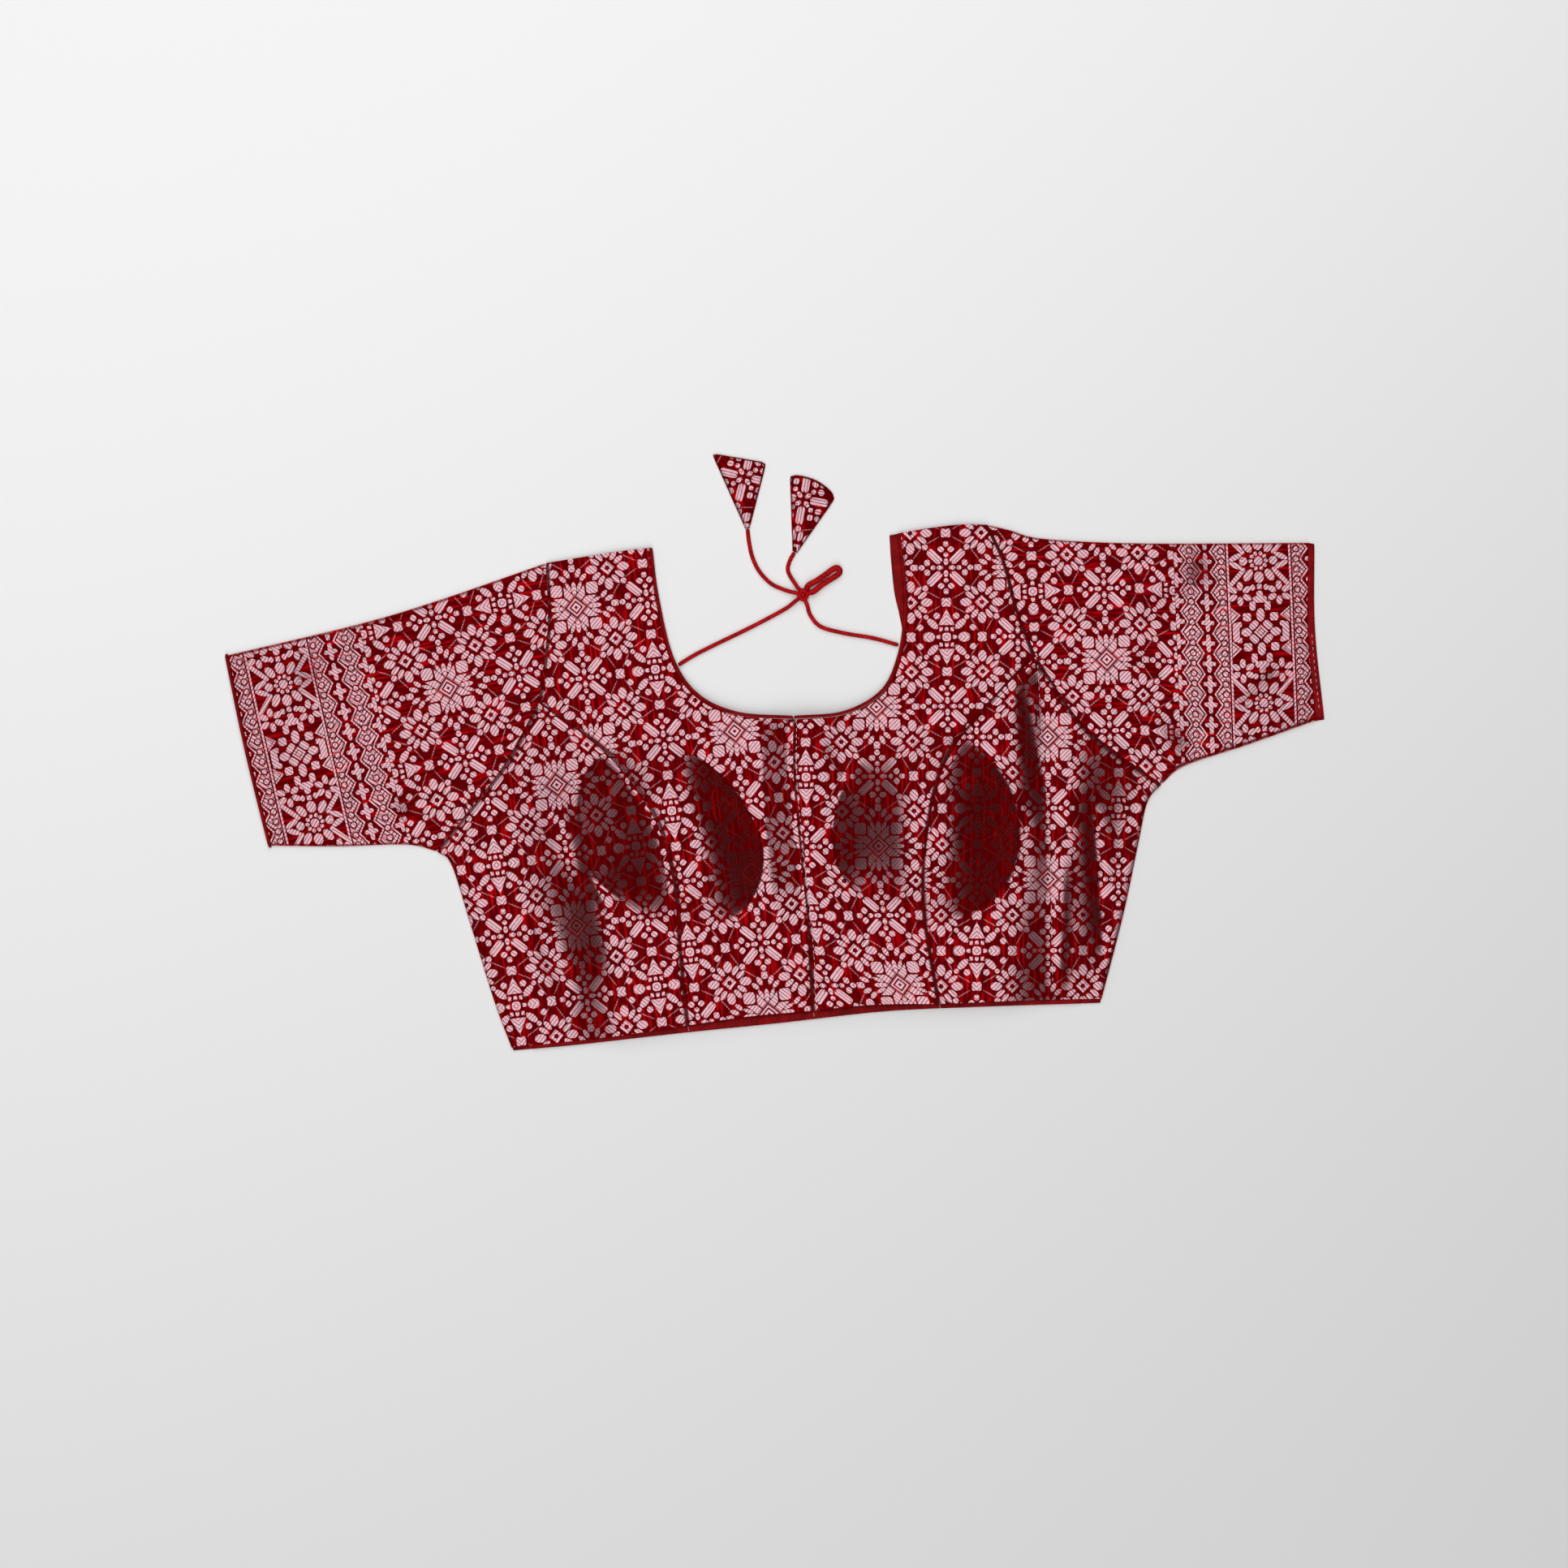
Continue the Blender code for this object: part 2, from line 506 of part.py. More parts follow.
def sleeve_rings(plan, lower_reach):
    """Rings of a flattened tube, one for each row of the plan: upper layer, fold, lower layer, fold."""
    rows = len(plan) - 1
    rings = []
    for i, row in enumerate(plan):
        along_sleeve = i / rows
        columns = len(row) - 1
        top_edge = row[0]
        under_edge = row[-1]
        if i == 0:
            top_edge = top_edge + (plan[1][0] - top_edge).normalized() * FOLD_SETBACK
            under_edge = under_edge + (plan[1][-1] - under_edge).normalized() * FOLD_SETBACK
        layer = list(row)
        layer[0] = top_edge + (row[1] - top_edge).normalized() * SLEEVE_ROLL
        layer[-1] = under_edge + (row[-2] - under_edge).normalized() * SLEEVE_ROLL
        ring = [(p.x, p.y, sleeve_height(p.x, p.y, along_sleeve, j / columns)) for j, p in enumerate(layer)]
        ring.append((under_edge.x, under_edge.y, ring[-1][2] / 2))
        further = lower_reach if i == rows else (0.0, 0.0)
        for j in range(columns, -1, -1):
            share = j / columns
            ring.append((layer[j].x + further[0] * (1 - share) + further[1] * share, layer[j].y, 0.0))
        ring.append((top_edge.x, top_edge.y, ring[0][2] / 2))
        ring.append(ring[0])
        rings.append(ring)
    return rings


def sleeve(name, top_fold, cuff, under, armhole, cuff_gap, lower_reach, on_left):
    """Makes a sleeve, a tube pressed flat and open at both ends, and returns its rings."""
    columns = len(armhole) - 1
    fold = along(top_fold, SLEEVE_LENGTHWISE)
    under_line = along(under, SLEEVE_LENGTHWISE)
    cuff_line = along(cuff, columns)
    free = [0.0] * SLEEVE_LENGTHWISE
    if on_left:
        plan = panel_plan(armhole, under_line, cuff_line, fold, (SEAM / 2, free, cuff_gap, free))
    else:
        plan = panel_plan(armhole[::-1], fold, cuff_line[::-1], under_line, (SEAM / 2, free, cuff_gap, free))
        plan = [row[::-1] for row in plan]
    rings = sleeve_rings(plan, lower_reach)
    mesh, sheet = grid_mesh(name, rings)
    bmesh.ops.remove_doubles(sheet, verts=list(sheet.verts), dist=MERGE)
    bmesh.ops.recalc_face_normals(sheet, faces=list(sheet.faces))
    sheet.to_mesh(mesh)
    sheet.free()
    made = add_object(name, mesh, brocade("sleeve"))
    wall = made.modifiers.new("wall", "SOLIDIFY")
    wall.thickness = WALL * MM
    wall.offset = -1.0
    mesh.shade_smooth()
    return rings


def sleeves():
    """Both sleeves, the binding round the left cuff and the facing inside the right one."""
    binding = 2 * BINDING_RADIUS + SEAM
    armhole = armhole_line(ARMHOLE_LEFT_UPPER, ARMHOLE_LEFT_LOWER)
    rings = sleeve("sleeve_left", SLEEVE_LEFT_TOP, SLEEVE_LEFT_CUFF, SLEEVE_LEFT_UNDER, armhole,
                   binding, (0.0, 0.0), True)
    cuff_binding(rings)
    armhole = armhole_line(ARMHOLE_RIGHT_UPPER, ARMHOLE_RIGHT_LOWER)
    rings = sleeve("sleeve_right", SLEEVE_RIGHT_TOP, SLEEVE_RIGHT_CUFF, SLEEVE_RIGHT_UNDER, armhole,
                   0.0, (CUFF_FACING_TOP, CUFF_FACING_UNDER), False)
    columns = len(armhole)
    upper = [Vector(p[:2]) for p in rings[-1][:columns]]
    lower = [Vector(p[:2]) for p in rings[-1][columns + 1:2 * columns + 1]][::-1]
    inner = [p + Vector((SEAM, 0.0)) for p in upper[1:-1]]
    strip_between("cuff_facing_right", inner, lower[1:-1], WALL + SEAM, FACING, plain_red("trim"))


def tube(name, places, radius, cloth, closed=False):
    """A round cord along places x, y, z."""
    curve = bpy.data.curves.new(name, "CURVE")
    curve.dimensions = "3D"
    curve.bevel_depth = radius * MM
    curve.bevel_resolution = ROUND_CORD
    curve.use_fill_caps = not closed
    spline = curve.splines.new("POLY")
    spline.points.add(len(places) - 1)
    for point, place in zip(spline.points, places):
        point.co = (place[0] * MM, place[1] * MM, place[2] * MM, 1.0)
    spline.use_cyclic_u = closed
    add_object(name, curve, cloth)


def cuff_binding(rings):
    """The binding follows the mouth of the left sleeve, outside its edge."""
    middle = ARMHOLE_UPPER_STEPS // 2
    run = Vector(rings[-1][middle][:2]) - Vector(rings[-2][middle][:2])
    away = run.normalized() * (SEAM + BINDING_RADIUS)
    places = []
    for place in rings[-1][:-1]:
        high = place[2] > 0.0
        z = place[2] if high else BINDING_RADIUS + BINDING_LIFT
        places.append((place[0] + away.x, place[1] + away.y, z))
    tube("cuff_piping_left", places, BINDING_RADIUS, plain_red("trim"), closed=True)


def knot_entry(name):
    """The straight run of a cord into the knot: a place further out, and the place at which it ends."""
    turn = math.radians(KNOT_ENTRIES[name])
    radii = Vector((KNOT_SIZE[0] / 2, KNOT_SIZE[1] / 2))
    on_knot = Vector((radii.x * math.cos(turn), radii.y * math.sin(turn)))
    outward = Vector((math.cos(turn) / radii.x, math.sin(turn) / radii.y)).normalized()
    centre = Vector(KNOT_CENTRE)
    end = centre + (on_knot + outward * KNOT_SEAM).to_3d()
    lead = end + (outward * KNOT_LEAD).to_3d() - Vector((0.0, 0.0, KNOT_CLIMB))
    return [tuple(lead), tuple(end)]


def cords():
    """The two neck cords with their knot, the bow loop and the two triangular tie ends."""
    red = plain_red("cord")
    spacing = CORD_STEP * 2 * CORD_RADIUS
    runs = {
        "dori_left": list(CORD_LEFT) + knot_entry("left"),
        "dori_right": list(CORD_RIGHT) + knot_entry("right"),
        "dori_tail_left": list(TAIL_LEFT) + knot_entry("tail_left"),
        "dori_tail_right": list(TAIL_RIGHT) + knot_entry("tail_right"),
        "dori_loop": knot_entry("loop_out")[::-1] + list(BOW_LOOP) + knot_entry("loop_back"),
    }
    for name, route in runs.items():
        line = smooth_line(route)
        length = sum((b - a).length for a, b in zip(line, line[1:]))
        tube(name, along(route, max(CORD_LEAST_STEPS, round(length / spacing))), CORD_RADIUS, red)
    knot = bmesh.new()
    bmesh.ops.create_uvsphere(knot, u_segments=KNOT_SEGMENTS[0], v_segments=KNOT_SEGMENTS[1], radius=0.5)
    bmesh.ops.scale(knot, verts=list(knot.verts), vec=Vector(KNOT_SIZE) * MM)
    mesh = bpy.data.meshes.new("dori_knot")
    knot.to_mesh(mesh)
    knot.free()
    mesh.shade_smooth()
    made = add_object("dori_knot", mesh, red)
    made.location = Vector(KNOT_CENTRE) * MM
    for side, corners in (("left", TIE_END_LEFT), ("right", TIE_END_RIGHT)):
        flat_piece("latkan_" + side, [[Vector(c) for c in corners]], 0.0, TIE_END_THICK, brocade("tie_end"))


def build():
    """Clears the scene and makes the blouse."""
    for old in list(bpy.data.objects):
        bpy.data.objects.remove(old, do_unlink=True)
    group = bpy.data.collections.new(COLLECTION)
    bpy.context.scene.collection.children.link(group)
    root = bpy.data.objects.new("blouse_root", None)
    root.location = (-OUTLINE_CENTRE[0] * MM, -OUTLINE_CENTRE[1] * MM, 0.0)
    group.objects.link(root)
    back_piece()
    front_panels()
    facings()
    sleeves()
    cords()


build()
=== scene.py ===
"""Looks of a brocade saree blouse laid flat with its front up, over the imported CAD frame.

Tables are in millimetres in the maker's own X and Y; row_place() turns them into metres in the frame. X runs
across the blouse, Y from the hem to the shoulders and Z up from the surface. Left and right are those of a
viewer who looks straight down at it.
"""
import math

import bmesh
import bpy
import numpy as np
from bpy.props import FloatProperty, FloatVectorProperty, PointerProperty
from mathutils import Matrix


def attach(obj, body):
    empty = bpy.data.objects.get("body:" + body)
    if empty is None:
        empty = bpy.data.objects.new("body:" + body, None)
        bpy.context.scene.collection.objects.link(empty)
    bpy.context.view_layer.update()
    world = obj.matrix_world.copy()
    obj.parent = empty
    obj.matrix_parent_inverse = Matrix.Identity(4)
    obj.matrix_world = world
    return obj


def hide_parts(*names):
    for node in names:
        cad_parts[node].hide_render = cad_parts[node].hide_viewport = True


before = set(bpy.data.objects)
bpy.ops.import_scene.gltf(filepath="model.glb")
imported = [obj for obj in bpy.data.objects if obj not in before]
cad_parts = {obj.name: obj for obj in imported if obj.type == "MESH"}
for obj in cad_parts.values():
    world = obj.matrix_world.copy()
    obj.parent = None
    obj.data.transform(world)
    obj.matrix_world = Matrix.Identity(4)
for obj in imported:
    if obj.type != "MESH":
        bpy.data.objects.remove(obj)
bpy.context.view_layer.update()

bl_info = {
    "name": "Brocade blouse",
    "version": (1, 0, 0),
    "blender": (4, 5, 0),
    "location": "3D View > Sidebar > Blouse",
    "description": "Makes the brocade cloth, red trim, neck cords and stage of a blouse laid flat",
    "category": "Object",
}

MM = 0.001
BODY = "root"

# Centre of the outline in the tables' X and Y, which lies at the frame's origin.
OUTLINE_CENTRE = (1.08, -0.72)

# Heights of the cloth above the surface, as in the solids.
WALL = 1.3
SEAM = 0.3
CLOTH_SEAM = 0.2        # what the dressed cloth leaves between two sewn pieces
FRONT_BOTTOM = WALL + SEAM
FRONT_TOP = FRONT_BOTTOM + WALL
SLEEVE_FOLD_TOP = 3.4
SLEEVE_RISE = 1.8
SLEEVE_BLEND = (0.06, 0.3)    # shares of a sleeve's length between which it leaves the front's height
ROLL_SHARE = 0.6        # a sleeve's rolled edge takes this share of its first column
FOLD_SETBACK = 1.0
ARCH = 8.0
ARCH_AT_SHOULDER = 0.08
ARCH_AT_HEM = 0.72
LEFT_FALL_FROM = ((-206.0, 20.0), (-194.0, -46.0), (-176.0, -106.0), (-148.0, -186.0))
LEFT_FALL_TO = ((-96.0, 20.0), (-112.0, -46.0), (-112.0, -106.0), (-98.0, -186.0))
RIGHT_FALL = (156.0, 208.0)
RIGHT_FALL_SHARE = 0.35
SIDE_FALL_WIDTH = 78.0
SHOULDER_FALL = (-8.0, 96.0)
HEM_FALL = (-180.0, -110.0)
PLACKET_RISE = 5.0
PLACKET_WIDTH = 24.0
PLACKET_FALL = 66.0
PLACKET_FOOT = (-128.0, -60.0)
PLACKET_HEAD = (40.0, 62.0)
CUP_ENDS = 1.5          # how fast a cup's height falls toward its upper and lower end
CREASE_FADE_IN = (-0.25, 0.2)     # shares of a crease's crest over which its height comes and goes
CREASE_FADE_OUT = (0.8, 1.25)
BINDING_LIFT = 0.1
BINDING_RADIUS = 1.2    # rolled strip on the neck and the left cuff

# How the dressed cloth lies at its edges: distances from an edge and depths.
SEAM_DIP_WIDTH = 1.2
FRONT_CREASE_MARGIN = 12.0
BACK_CREASE_MARGIN = 16.0
SLEEVE_CREASE_MARGIN = 14.0
FREE_EDGE_ROLL = (0.3, 2.0)       # how deep a free edge of the front rolls down, and how far in
FOLDED_EDGE_ROLL = (0.5, 3.0)     # the same at a sleeve's folded edges

# Bust cups: centre, reach to the left, right, up and down, how far the ridge leans to the left for each mm
# above and below the centre, the power of the left and the right half, and height. A higher power makes the
# top flatter and the rim steeper.
CUPS = (
    (-68.0, -40.0, 66.0, 60.0, 74.0, 64.0, 0.30, 0.15, 1.5, 2.3, 20.0),
    (107.6, -36.0, 66.0, 66.0, 80.0, 64.0, 0.0, 0.0, 1.5, 2.3, 21.0),
)

# Main folds of the solids: crest from x1, y1 to x2, y2, half width and height. A negative height is a trough.
FOLDS = (
    (-128.0, -56.0, -108.0, -128.0, 16.0, 1.7),
    (166.0, 84.0, 172.0, -12.0, 20.0, 2.7),
    (191.0, 82.0, 196.5, -50.0, 7.0, -0.8),
    (214.0, 34.0, 219.0, -128.0, 19.0, 1.1),
    (-330.0, 78.0, -262.0, 96.0, 16.0, 1.6),
    (-226.0, 8.0, -262.0, -20.0, 15.0, 1.7),
    (246.0, 132.0, 300.0, 158.0, 15.0, 1.6),
    (228.0, 62.0, 284.0, 26.0, 13.0, 1.9),
)

# Fine creases that only the dressed cloth has, in the same columns.
CREASES = (
    (-44.2, 1.9, -10.2, -28.3, 3.0, -0.8),
    (126.9, 27.0, 118.0, 1.9, 3.0, 0.6),
    (-131.0, -64.0, -112.0, -92.0, 3.0, 0.7),
    (-150.0, -20.0, -134.0, -70.0, 7.0, -0.7),
    (-168.0, -100.0, -150.0, -150.0, 9.0, 0.8),
    (-40.0, 30.0, -20.0, 8.0, 7.0, 0.6),
    (40.0, 30.0, 62.0, 4.0, 8.0, -0.6),
    (180.0, 66.0, 188.0, 10.0, 5.0, -0.8),
    (228.0, -20.0, 236.0, -110.0, 5.0, -0.9),
    (206.0, -60.0, 204.0, -140.0, 5.0, 0.7),
    (-140.0, 128.0, -112.0, 140.0, 9.0, 0.6),
    (118.0, 168.0, 140.0, 150.0, 8.0, 0.6),
    (-352.0, 30.0, -322.0, 22.0, 8.0, 0.6),
    (-300.0, -10.0, -268.0, 6.0, 9.0, 0.7),
    (320.0, 60.0, 352.0, 84.0, 9.0, 0.6),
    (262.0, 96.0, 286.0, 80.0, 8.0, -0.6),
)

# Creases of the hidden underside of the back, in the same columns.
BACK_CREASES = (
    (-150.0, 90.0, -110.0, 20.0, 12.0, 0.7),
    (150.0, 100.0, 120.0, 30.0, 11.0, 0.6),
    (-180.0, -60.0, -90.0, -100.0, 14.0, 0.8),
    (40.0, -30.0, 120.0, -90.0, 15.0, 0.7),
    (-30.0, -70.0, -10.0, -140.0, 9.0, 0.6),
    (200.0, -20.0, 190.0, -110.0, 10.0, 0.7),
)

# Seams and edges, each as the places x, y that it passes.
SHOULDER_LEFT = ((-162.1, 159.5), (-111.6, 167.6), (-86.1, 170.5))
SHOULDER_RIGHT = ((89.0, 180.6), (108.2, 183.9), (133.7, 187.0), (153.4, 186.8))
NECK_LEFT = ((-86.1, 170.5), (-81.5, 135.7), (-71.0, 92.6), (-53.6, 66.7), (-25.2, 53.4), (14.6, 50.4))
NECK_RIGHT = ((89.0, 180.6), (92.4, 150.0), (93.2, 124.0), (88.8, 94.0), (76.9, 69.0), (50.2, 53.9),
              (14.6, 50.4))
CENTRE = ((14.6, 50.4), (14.8, 5.8), (20.0, -52.2), (26.4, -112.5), (28.6, -159.8))
ARMHOLE_LEFT_UPPER = ((-162.1, 159.5), (-160.6, 114.0), (-167.3, 59.7))
ARMHOLE_LEFT_LOWER = ((-167.3, 59.7), (-194.8, 11.0), (-240.0, -46.4))
ARMHOLE_RIGHT_UPPER = ((153.4, 186.8), (165.6, 160.0), (175.5, 123.5), (187.6, 93.0))
ARMHOLE_RIGHT_LOWER = ((187.6, 93.0), (216.6, 49.3), (242.7, 26.1), (277.5, 1.7))
PRINCESS_LEFT = ((-167.3, 59.7), (-120.4, 24.9), (-86.1, -18.6), (-71.6, -62.6), (-66.2, -118.0),
                 (-61.2, -170.4))
PRINCESS_RIGHT = ((187.6, 93.0), (152.3, 57.4), (120.9, 13.3), (108.2, -40.6), (107.6, -86.0), (118.6, -155.0))
SIDE_LEFT = ((-240.0, -46.4), (-229.6, -56.0), (-215.5, -100.3), (-198.7, -154.3), (-186.6, -186.6))
SIDE_RIGHT = ((277.5, 1.7), (267.4, -11.0), (260.7, -41.2), (250.3, -90.5), (234.6, -151.6))
HEM_LEFT_SIDE = ((-186.6, -186.6), (-120.4, -179.2), (-61.2, -170.4))
HEM_LEFT_CENTRE = ((-61.2, -170.4), (-18.3, -164.1), (28.6, -159.8))
HEM_RIGHT_CENTRE = ((28.6, -159.8), (72.0, -155.6), (118.6, -155.0))
HEM_RIGHT_SIDE = ((118.6, -155.0), (176.0, -152.8), (234.6, -151.6))
BACK_HEM = ((-185.4, -188.6), (-137.2, -184.2), (-60.6, -175.6), (4.4, -169.0), (78.0, -160.8), (143.0, -157.6),
            (233.6, -154.6))
BACK_NECK_LEFT = ((-88.6, 170.3), (-84.0, 135.0), (-73.4, 92.0), (-58.0, 58.0), (-28.0, 22.0), (14.6, 9.0))
BACK_NECK_RIGHT = ((83.2, 179.3), (84.4, 160.7), (86.7, 138.6), (89.9, 124.6), (93.0, 98.0), (84.0, 58.0),
                   (58.0, 22.0), (14.6, 9.0))
SLEEVE_LEFT_TOP = ((-162.1, 159.5), (-241.0, 132.2), (-297.8, 115.4), (-391.4, 93.2))
SLEEVE_LEFT_CUFF = ((-391.4, 93.2), (-377.3, 27.0), (-360.6, -42.3))
SLEEVE_LEFT_UNDER = ((-240.0, -46.4), (-262.0, -41.6), (-310.0, -42.8), (-360.6, -42.3))
SLEEVE_RIGHT_TOP = ((153.4, 186.8), (170.2, 182.7), (193.4, 176.9), (263.0, 173.6), (382.2, 174.0))
SLEEVE_RIGHT_CUFF = ((382.2, 174.0), (381.6, 112.0), (387.2, 47.0))
SLEEVE_RIGHT_UNDER = ((277.5, 1.7), (294.4, 14.8), (340.8, 30.4), (387.2, 47.0))
CUFF_FACING_TOP = 4.4
CUFF_FACING_UNDER = 6.6

# Grid segments of the solids along each boundary. FINE times as many make the dressed cloth.
ARMHOLE_UPPER_STEPS = 11
NECK_LEFT_STEPS = 14
NECK_RIGHT_STEPS = 17
ARMHOLE_LOWER_STEPS = 12
PRINCESS_STEPS = 19
CENTRE_COLUMNS = 12
SLEEVE_LENGTHWISE = 15
FINE = 5
BACK_FINE = 3
BACK_COLUMNS = 48
SIDE_SEAM_STEPS = 14
HEM_STEPS = 120
CURVE_STEPS = 30         # places that a smooth line has between two points
EDGE_LINE_SHARE = 0.1    # the line just inside an edge lies this share of a cell from it
STRAIGHT_CORNER = 0.05   # a corner whose turn has a smaller sine counts as straight

# Neck cords: the route points of the solids, each x, y, z, from the far end to the knot.
CORD_ROUTES = {
    "dori_left": ((-67.7, 86.7, 1.7), (-52.0, 96.0, 1.6), (-16.0, 113.6, 1.6), (8.0, 126.4, 1.8)),
    "dori_right": ((89.7, 100.9, 1.7), (72.0, 105.8, 1.6), (50.0, 109.6, 1.6), (34.0, 114.2, 1.7),
                   (26.8, 122.0, 1.9)),
    "dori_tail_left": ((-18.25, 184.05, 1.6), (-17.0, 173.6, 1.6), (-14.6, 163.4, 1.6), (-9.8, 153.6, 1.6),
                       (-1.6, 145.0, 1.6), (7.6, 140.6, 1.9)),
    "dori_tail_right": ((15.44, 167.3, 1.6), (11.8, 160.6, 1.6), (10.8, 153.4, 1.7)),
    "dori_loop": ((31.85, 147.34, 2.1), (37.57, 151.36, 1.7), (42.83, 155.19, 1.7), (45.57, 156.14, 1.7),
                  (47.27, 155.07, 1.7), (47.65, 153.1, 1.7), (45.75, 150.89, 1.7), (40.27, 147.4, 1.7),
                  (34.43, 143.54, 2.1)),
}
# Where each cord enters the knot, in degrees round it from +X.
KNOT_ENTRIES = {"dori_left": 219.0, "dori_right": 292.0, "dori_tail_left": 166.0, "dori_tail_right": 126.0,
                "loop_out": 58.0, "dori_loop": 17.0}
KNOT_CENTRE = (21.4, 136.8, 3.2)
KNOT_SIZE = (8.6, 9.6, 5.6)
KNOT_GAP = SEAM + 0.1       # between a cord's end and the knot's ellipsoid in the solids
KNOT_LEAD = 3.2             # length and drop of a cord's last straight run into the knot
KNOT_LEAD_DROP = 0.3
CORD_SINK = 0.0016          # metres by which the dressed cord goes on into the knot or the tie end
# The knot's three bands of cord: turn about the upright axis and tilt, in radians.
KNOT_BANDS = ((0.35, 0.55), (1.75, 0.5), (2.75, -0.5))
KNOT_WAIST = 0.35           # half width of its fourth, upright band, as a share of the knot's
KNOT_BAND_SINK = 0.95       # how many radii of its cord a band's centre line lies inside the ellipsoid
KNOT_CLOTH = (7.2, 26.0)    # cloth coordinates round and along a band, in mm
LOOP_PUFF = 0.65            # what the bow loop's cord has over its radius, because the bow is puffed up
TIE_END_THICK = 2.4
TIE_END_RIM = 0.3           # thickness of a tie end at its rim, as a share of its middle's
TIE_END_RIPPLE = (0.16, 0.5, 0.22)    # height of its ripple, and radians for each mm of x and y
RIGHT_TIE_BOW = (3.4, 5.4)  # how far the right tie end bows out where the folded cloth stands off
BOW_SHARE = 0.75
CORNER_REACH = 2.6          # how far from a tie end's corner it is rounded, and by how much
CORNER_PULL = 1.3
TIE_ENDS = {
    "latkan_left": ((-19.9, 184.2), (-43.8, 238.0), (-4.6, 231.4), (-16.7, 184.6)),
    "latkan_right": ((13.9, 168.4), (12.0, 222.6), (44.9, 206.5), (17.2, 166.8)),
}

# How the woven repeat lies on each piece: x, y of one large star, turn in degrees, length share of the repeat,
# and how far aside the cloth leans one repeat below the second star, in mm.
REPEAT = 101.5
LAY = {
    "front_centre_left": (-27.4, 39.4, 7.0, 1.0, 0.0),
    "front_side_left": (-154.2, 1.1, 8.0, 1.0, 0.0),
    "front_centre_right": (73.7, 56.7, 0.6, 0.975, 14.6),
    "front_side_right": (195.8, -66.2, 0.0, 1.0, 0.0),
    "back_panel": (14.6, -20.0, 3.0, 1.0, 0.0),
    "latkan_left": (-63.9, 195.0, 31.0, 1.0, 0.0),
    "latkan_right": (-20.1, 175.8, 35.0, 1.0, 0.0),
}
# Short tacks across the hem facing: the place of the upper end of each.
HEM_TACKS = {
    "tack_princess_left": (-60.6, -171.6),
    "tack_centre_front": (28.8, -161.4),
    "tack_princess_right": (118.8, -155.6),
}
SLEEVE_STAR = 149.5    # distance of the sleeve's large star from the cuff edge
SLEEVE_STAR_ACROSS = {"sleeve_left": (-231.7, 70.2), "sleeve_right": (238.1, 90.5)}
BORDER_SLIP = {"sleeve_left": 0.0, "sleeve_right": 6.5}    # how far the border has slipped along the cuff
BORDER_WIDTH = 98.0    # from the cuff edge to where the body cloth's repeat starts
PATTERN_BLEND = (60.0, 140.0)    # distances from the cuff between which place is measured from the large star


# ---------------------------------------------------------------- places and lines

def row_place(points):
    """Points in the tables' millimetres as metres in the frame: less the outline's centre, times 0.001."""
    points = np.asarray(points, float)
    shift = np.zeros(points.shape[-1])
    shift[:2] = OUTLINE_CENTRE
    return (points - shift) * MM


def unit(vectors):
    """Each vector over its own length."""
    return vectors / np.linalg.norm(vectors, axis=-1, keepdims=True)


def smooth_line(points):
    """A Catmull-Rom curve: half of 2b + (c-a)t + (2a-5b+4c-d)t^2 + (3b-a-3c+d)t^3 between b and c."""
    p = np.asarray(points, float)
    p = np.vstack((2 * p[:1] - p[1:2], p, 2 * p[-1:] - p[-2:-1]))
    t = np.linspace(0.0, 1.0, CURVE_STEPS, endpoint=False)[None, :, None]
    a, b, c, d = p[:-3, None], p[1:-2, None], p[2:-1, None], p[3:, None]
    curve = 0.5 * (2 * b + (c - a) * t + (2 * a - 5 * b + 4 * c - d) * t ** 2
                   + (3 * b - a - 3 * c + d) * t ** 3)
    return np.vstack((curve.reshape(-1, p.shape[1]), p[-2]))


def lengths_along(line):
    """How far each place of a line lies from its start: the running sum of its steps."""
    return np.concatenate(((0.0,), np.cumsum(np.linalg.norm(np.diff(line, axis=0), axis=1))))


def places_at(line, wanted):
    """The places on a line at the wanted lengths from its start."""
    reach = lengths_along(line)
    return np.stack([np.interp(wanted, reach, line[:, k]) for k in range(line.shape[1])], axis=1)


def evenly(line, count):
    """count + 1 places spread evenly by length over a line."""
    return places_at(line, np.linspace(0.0, lengths_along(line)[-1], count + 1))


def along(points, count):
    """count + 1 places spread evenly by length over the smooth line through the points."""
    return evenly(smooth_line(points), count)


def smoothstep(low, high, value):
    """t*t*(3-2t) of the share of the way from low to high."""
    t = np.clip((value - low) / (high - low), 0.0, 1.0)
    return t * t * (3 - 2 * t)


def x_at(points, y):
    """x of a seam that runs down the blouse, read off its places at the height y."""
    table = np.asarray(points, float)[::-1]
    return np.interp(y, table[:, 1], table[:, 0])


# ---------------------------------------------------------------- heights of the cloth

def cup_height(x, y):
    """Each cup is height * e^CUP_ENDS * (1 - (a / sqrt(e))^power), where e is 1 - b^2.

    a and b are the distances from its ridge and from its centre line, as shares of its reach.
    """
    height = np.zeros_like(x)
    for centre_x, centre_y, left, right, up, down, above, below, power_left, power_right, tall in CUPS:
        away = x - centre_x + np.where(y > centre_y, above, below) * (y - centre_y)
        across = np.abs(away) / np.where(away < 0, left, right)
        upward = (y - centre_y) / np.where(y > centre_y, up, down)
        ends = np.maximum(1e-6, 1.0 - upward ** 2)
        reach = np.minimum(1.0, across / np.sqrt(ends))
        height += tall * ends ** CUP_ENDS * (1.0 - reach ** np.where(away < 0, power_left, power_right))
    return height


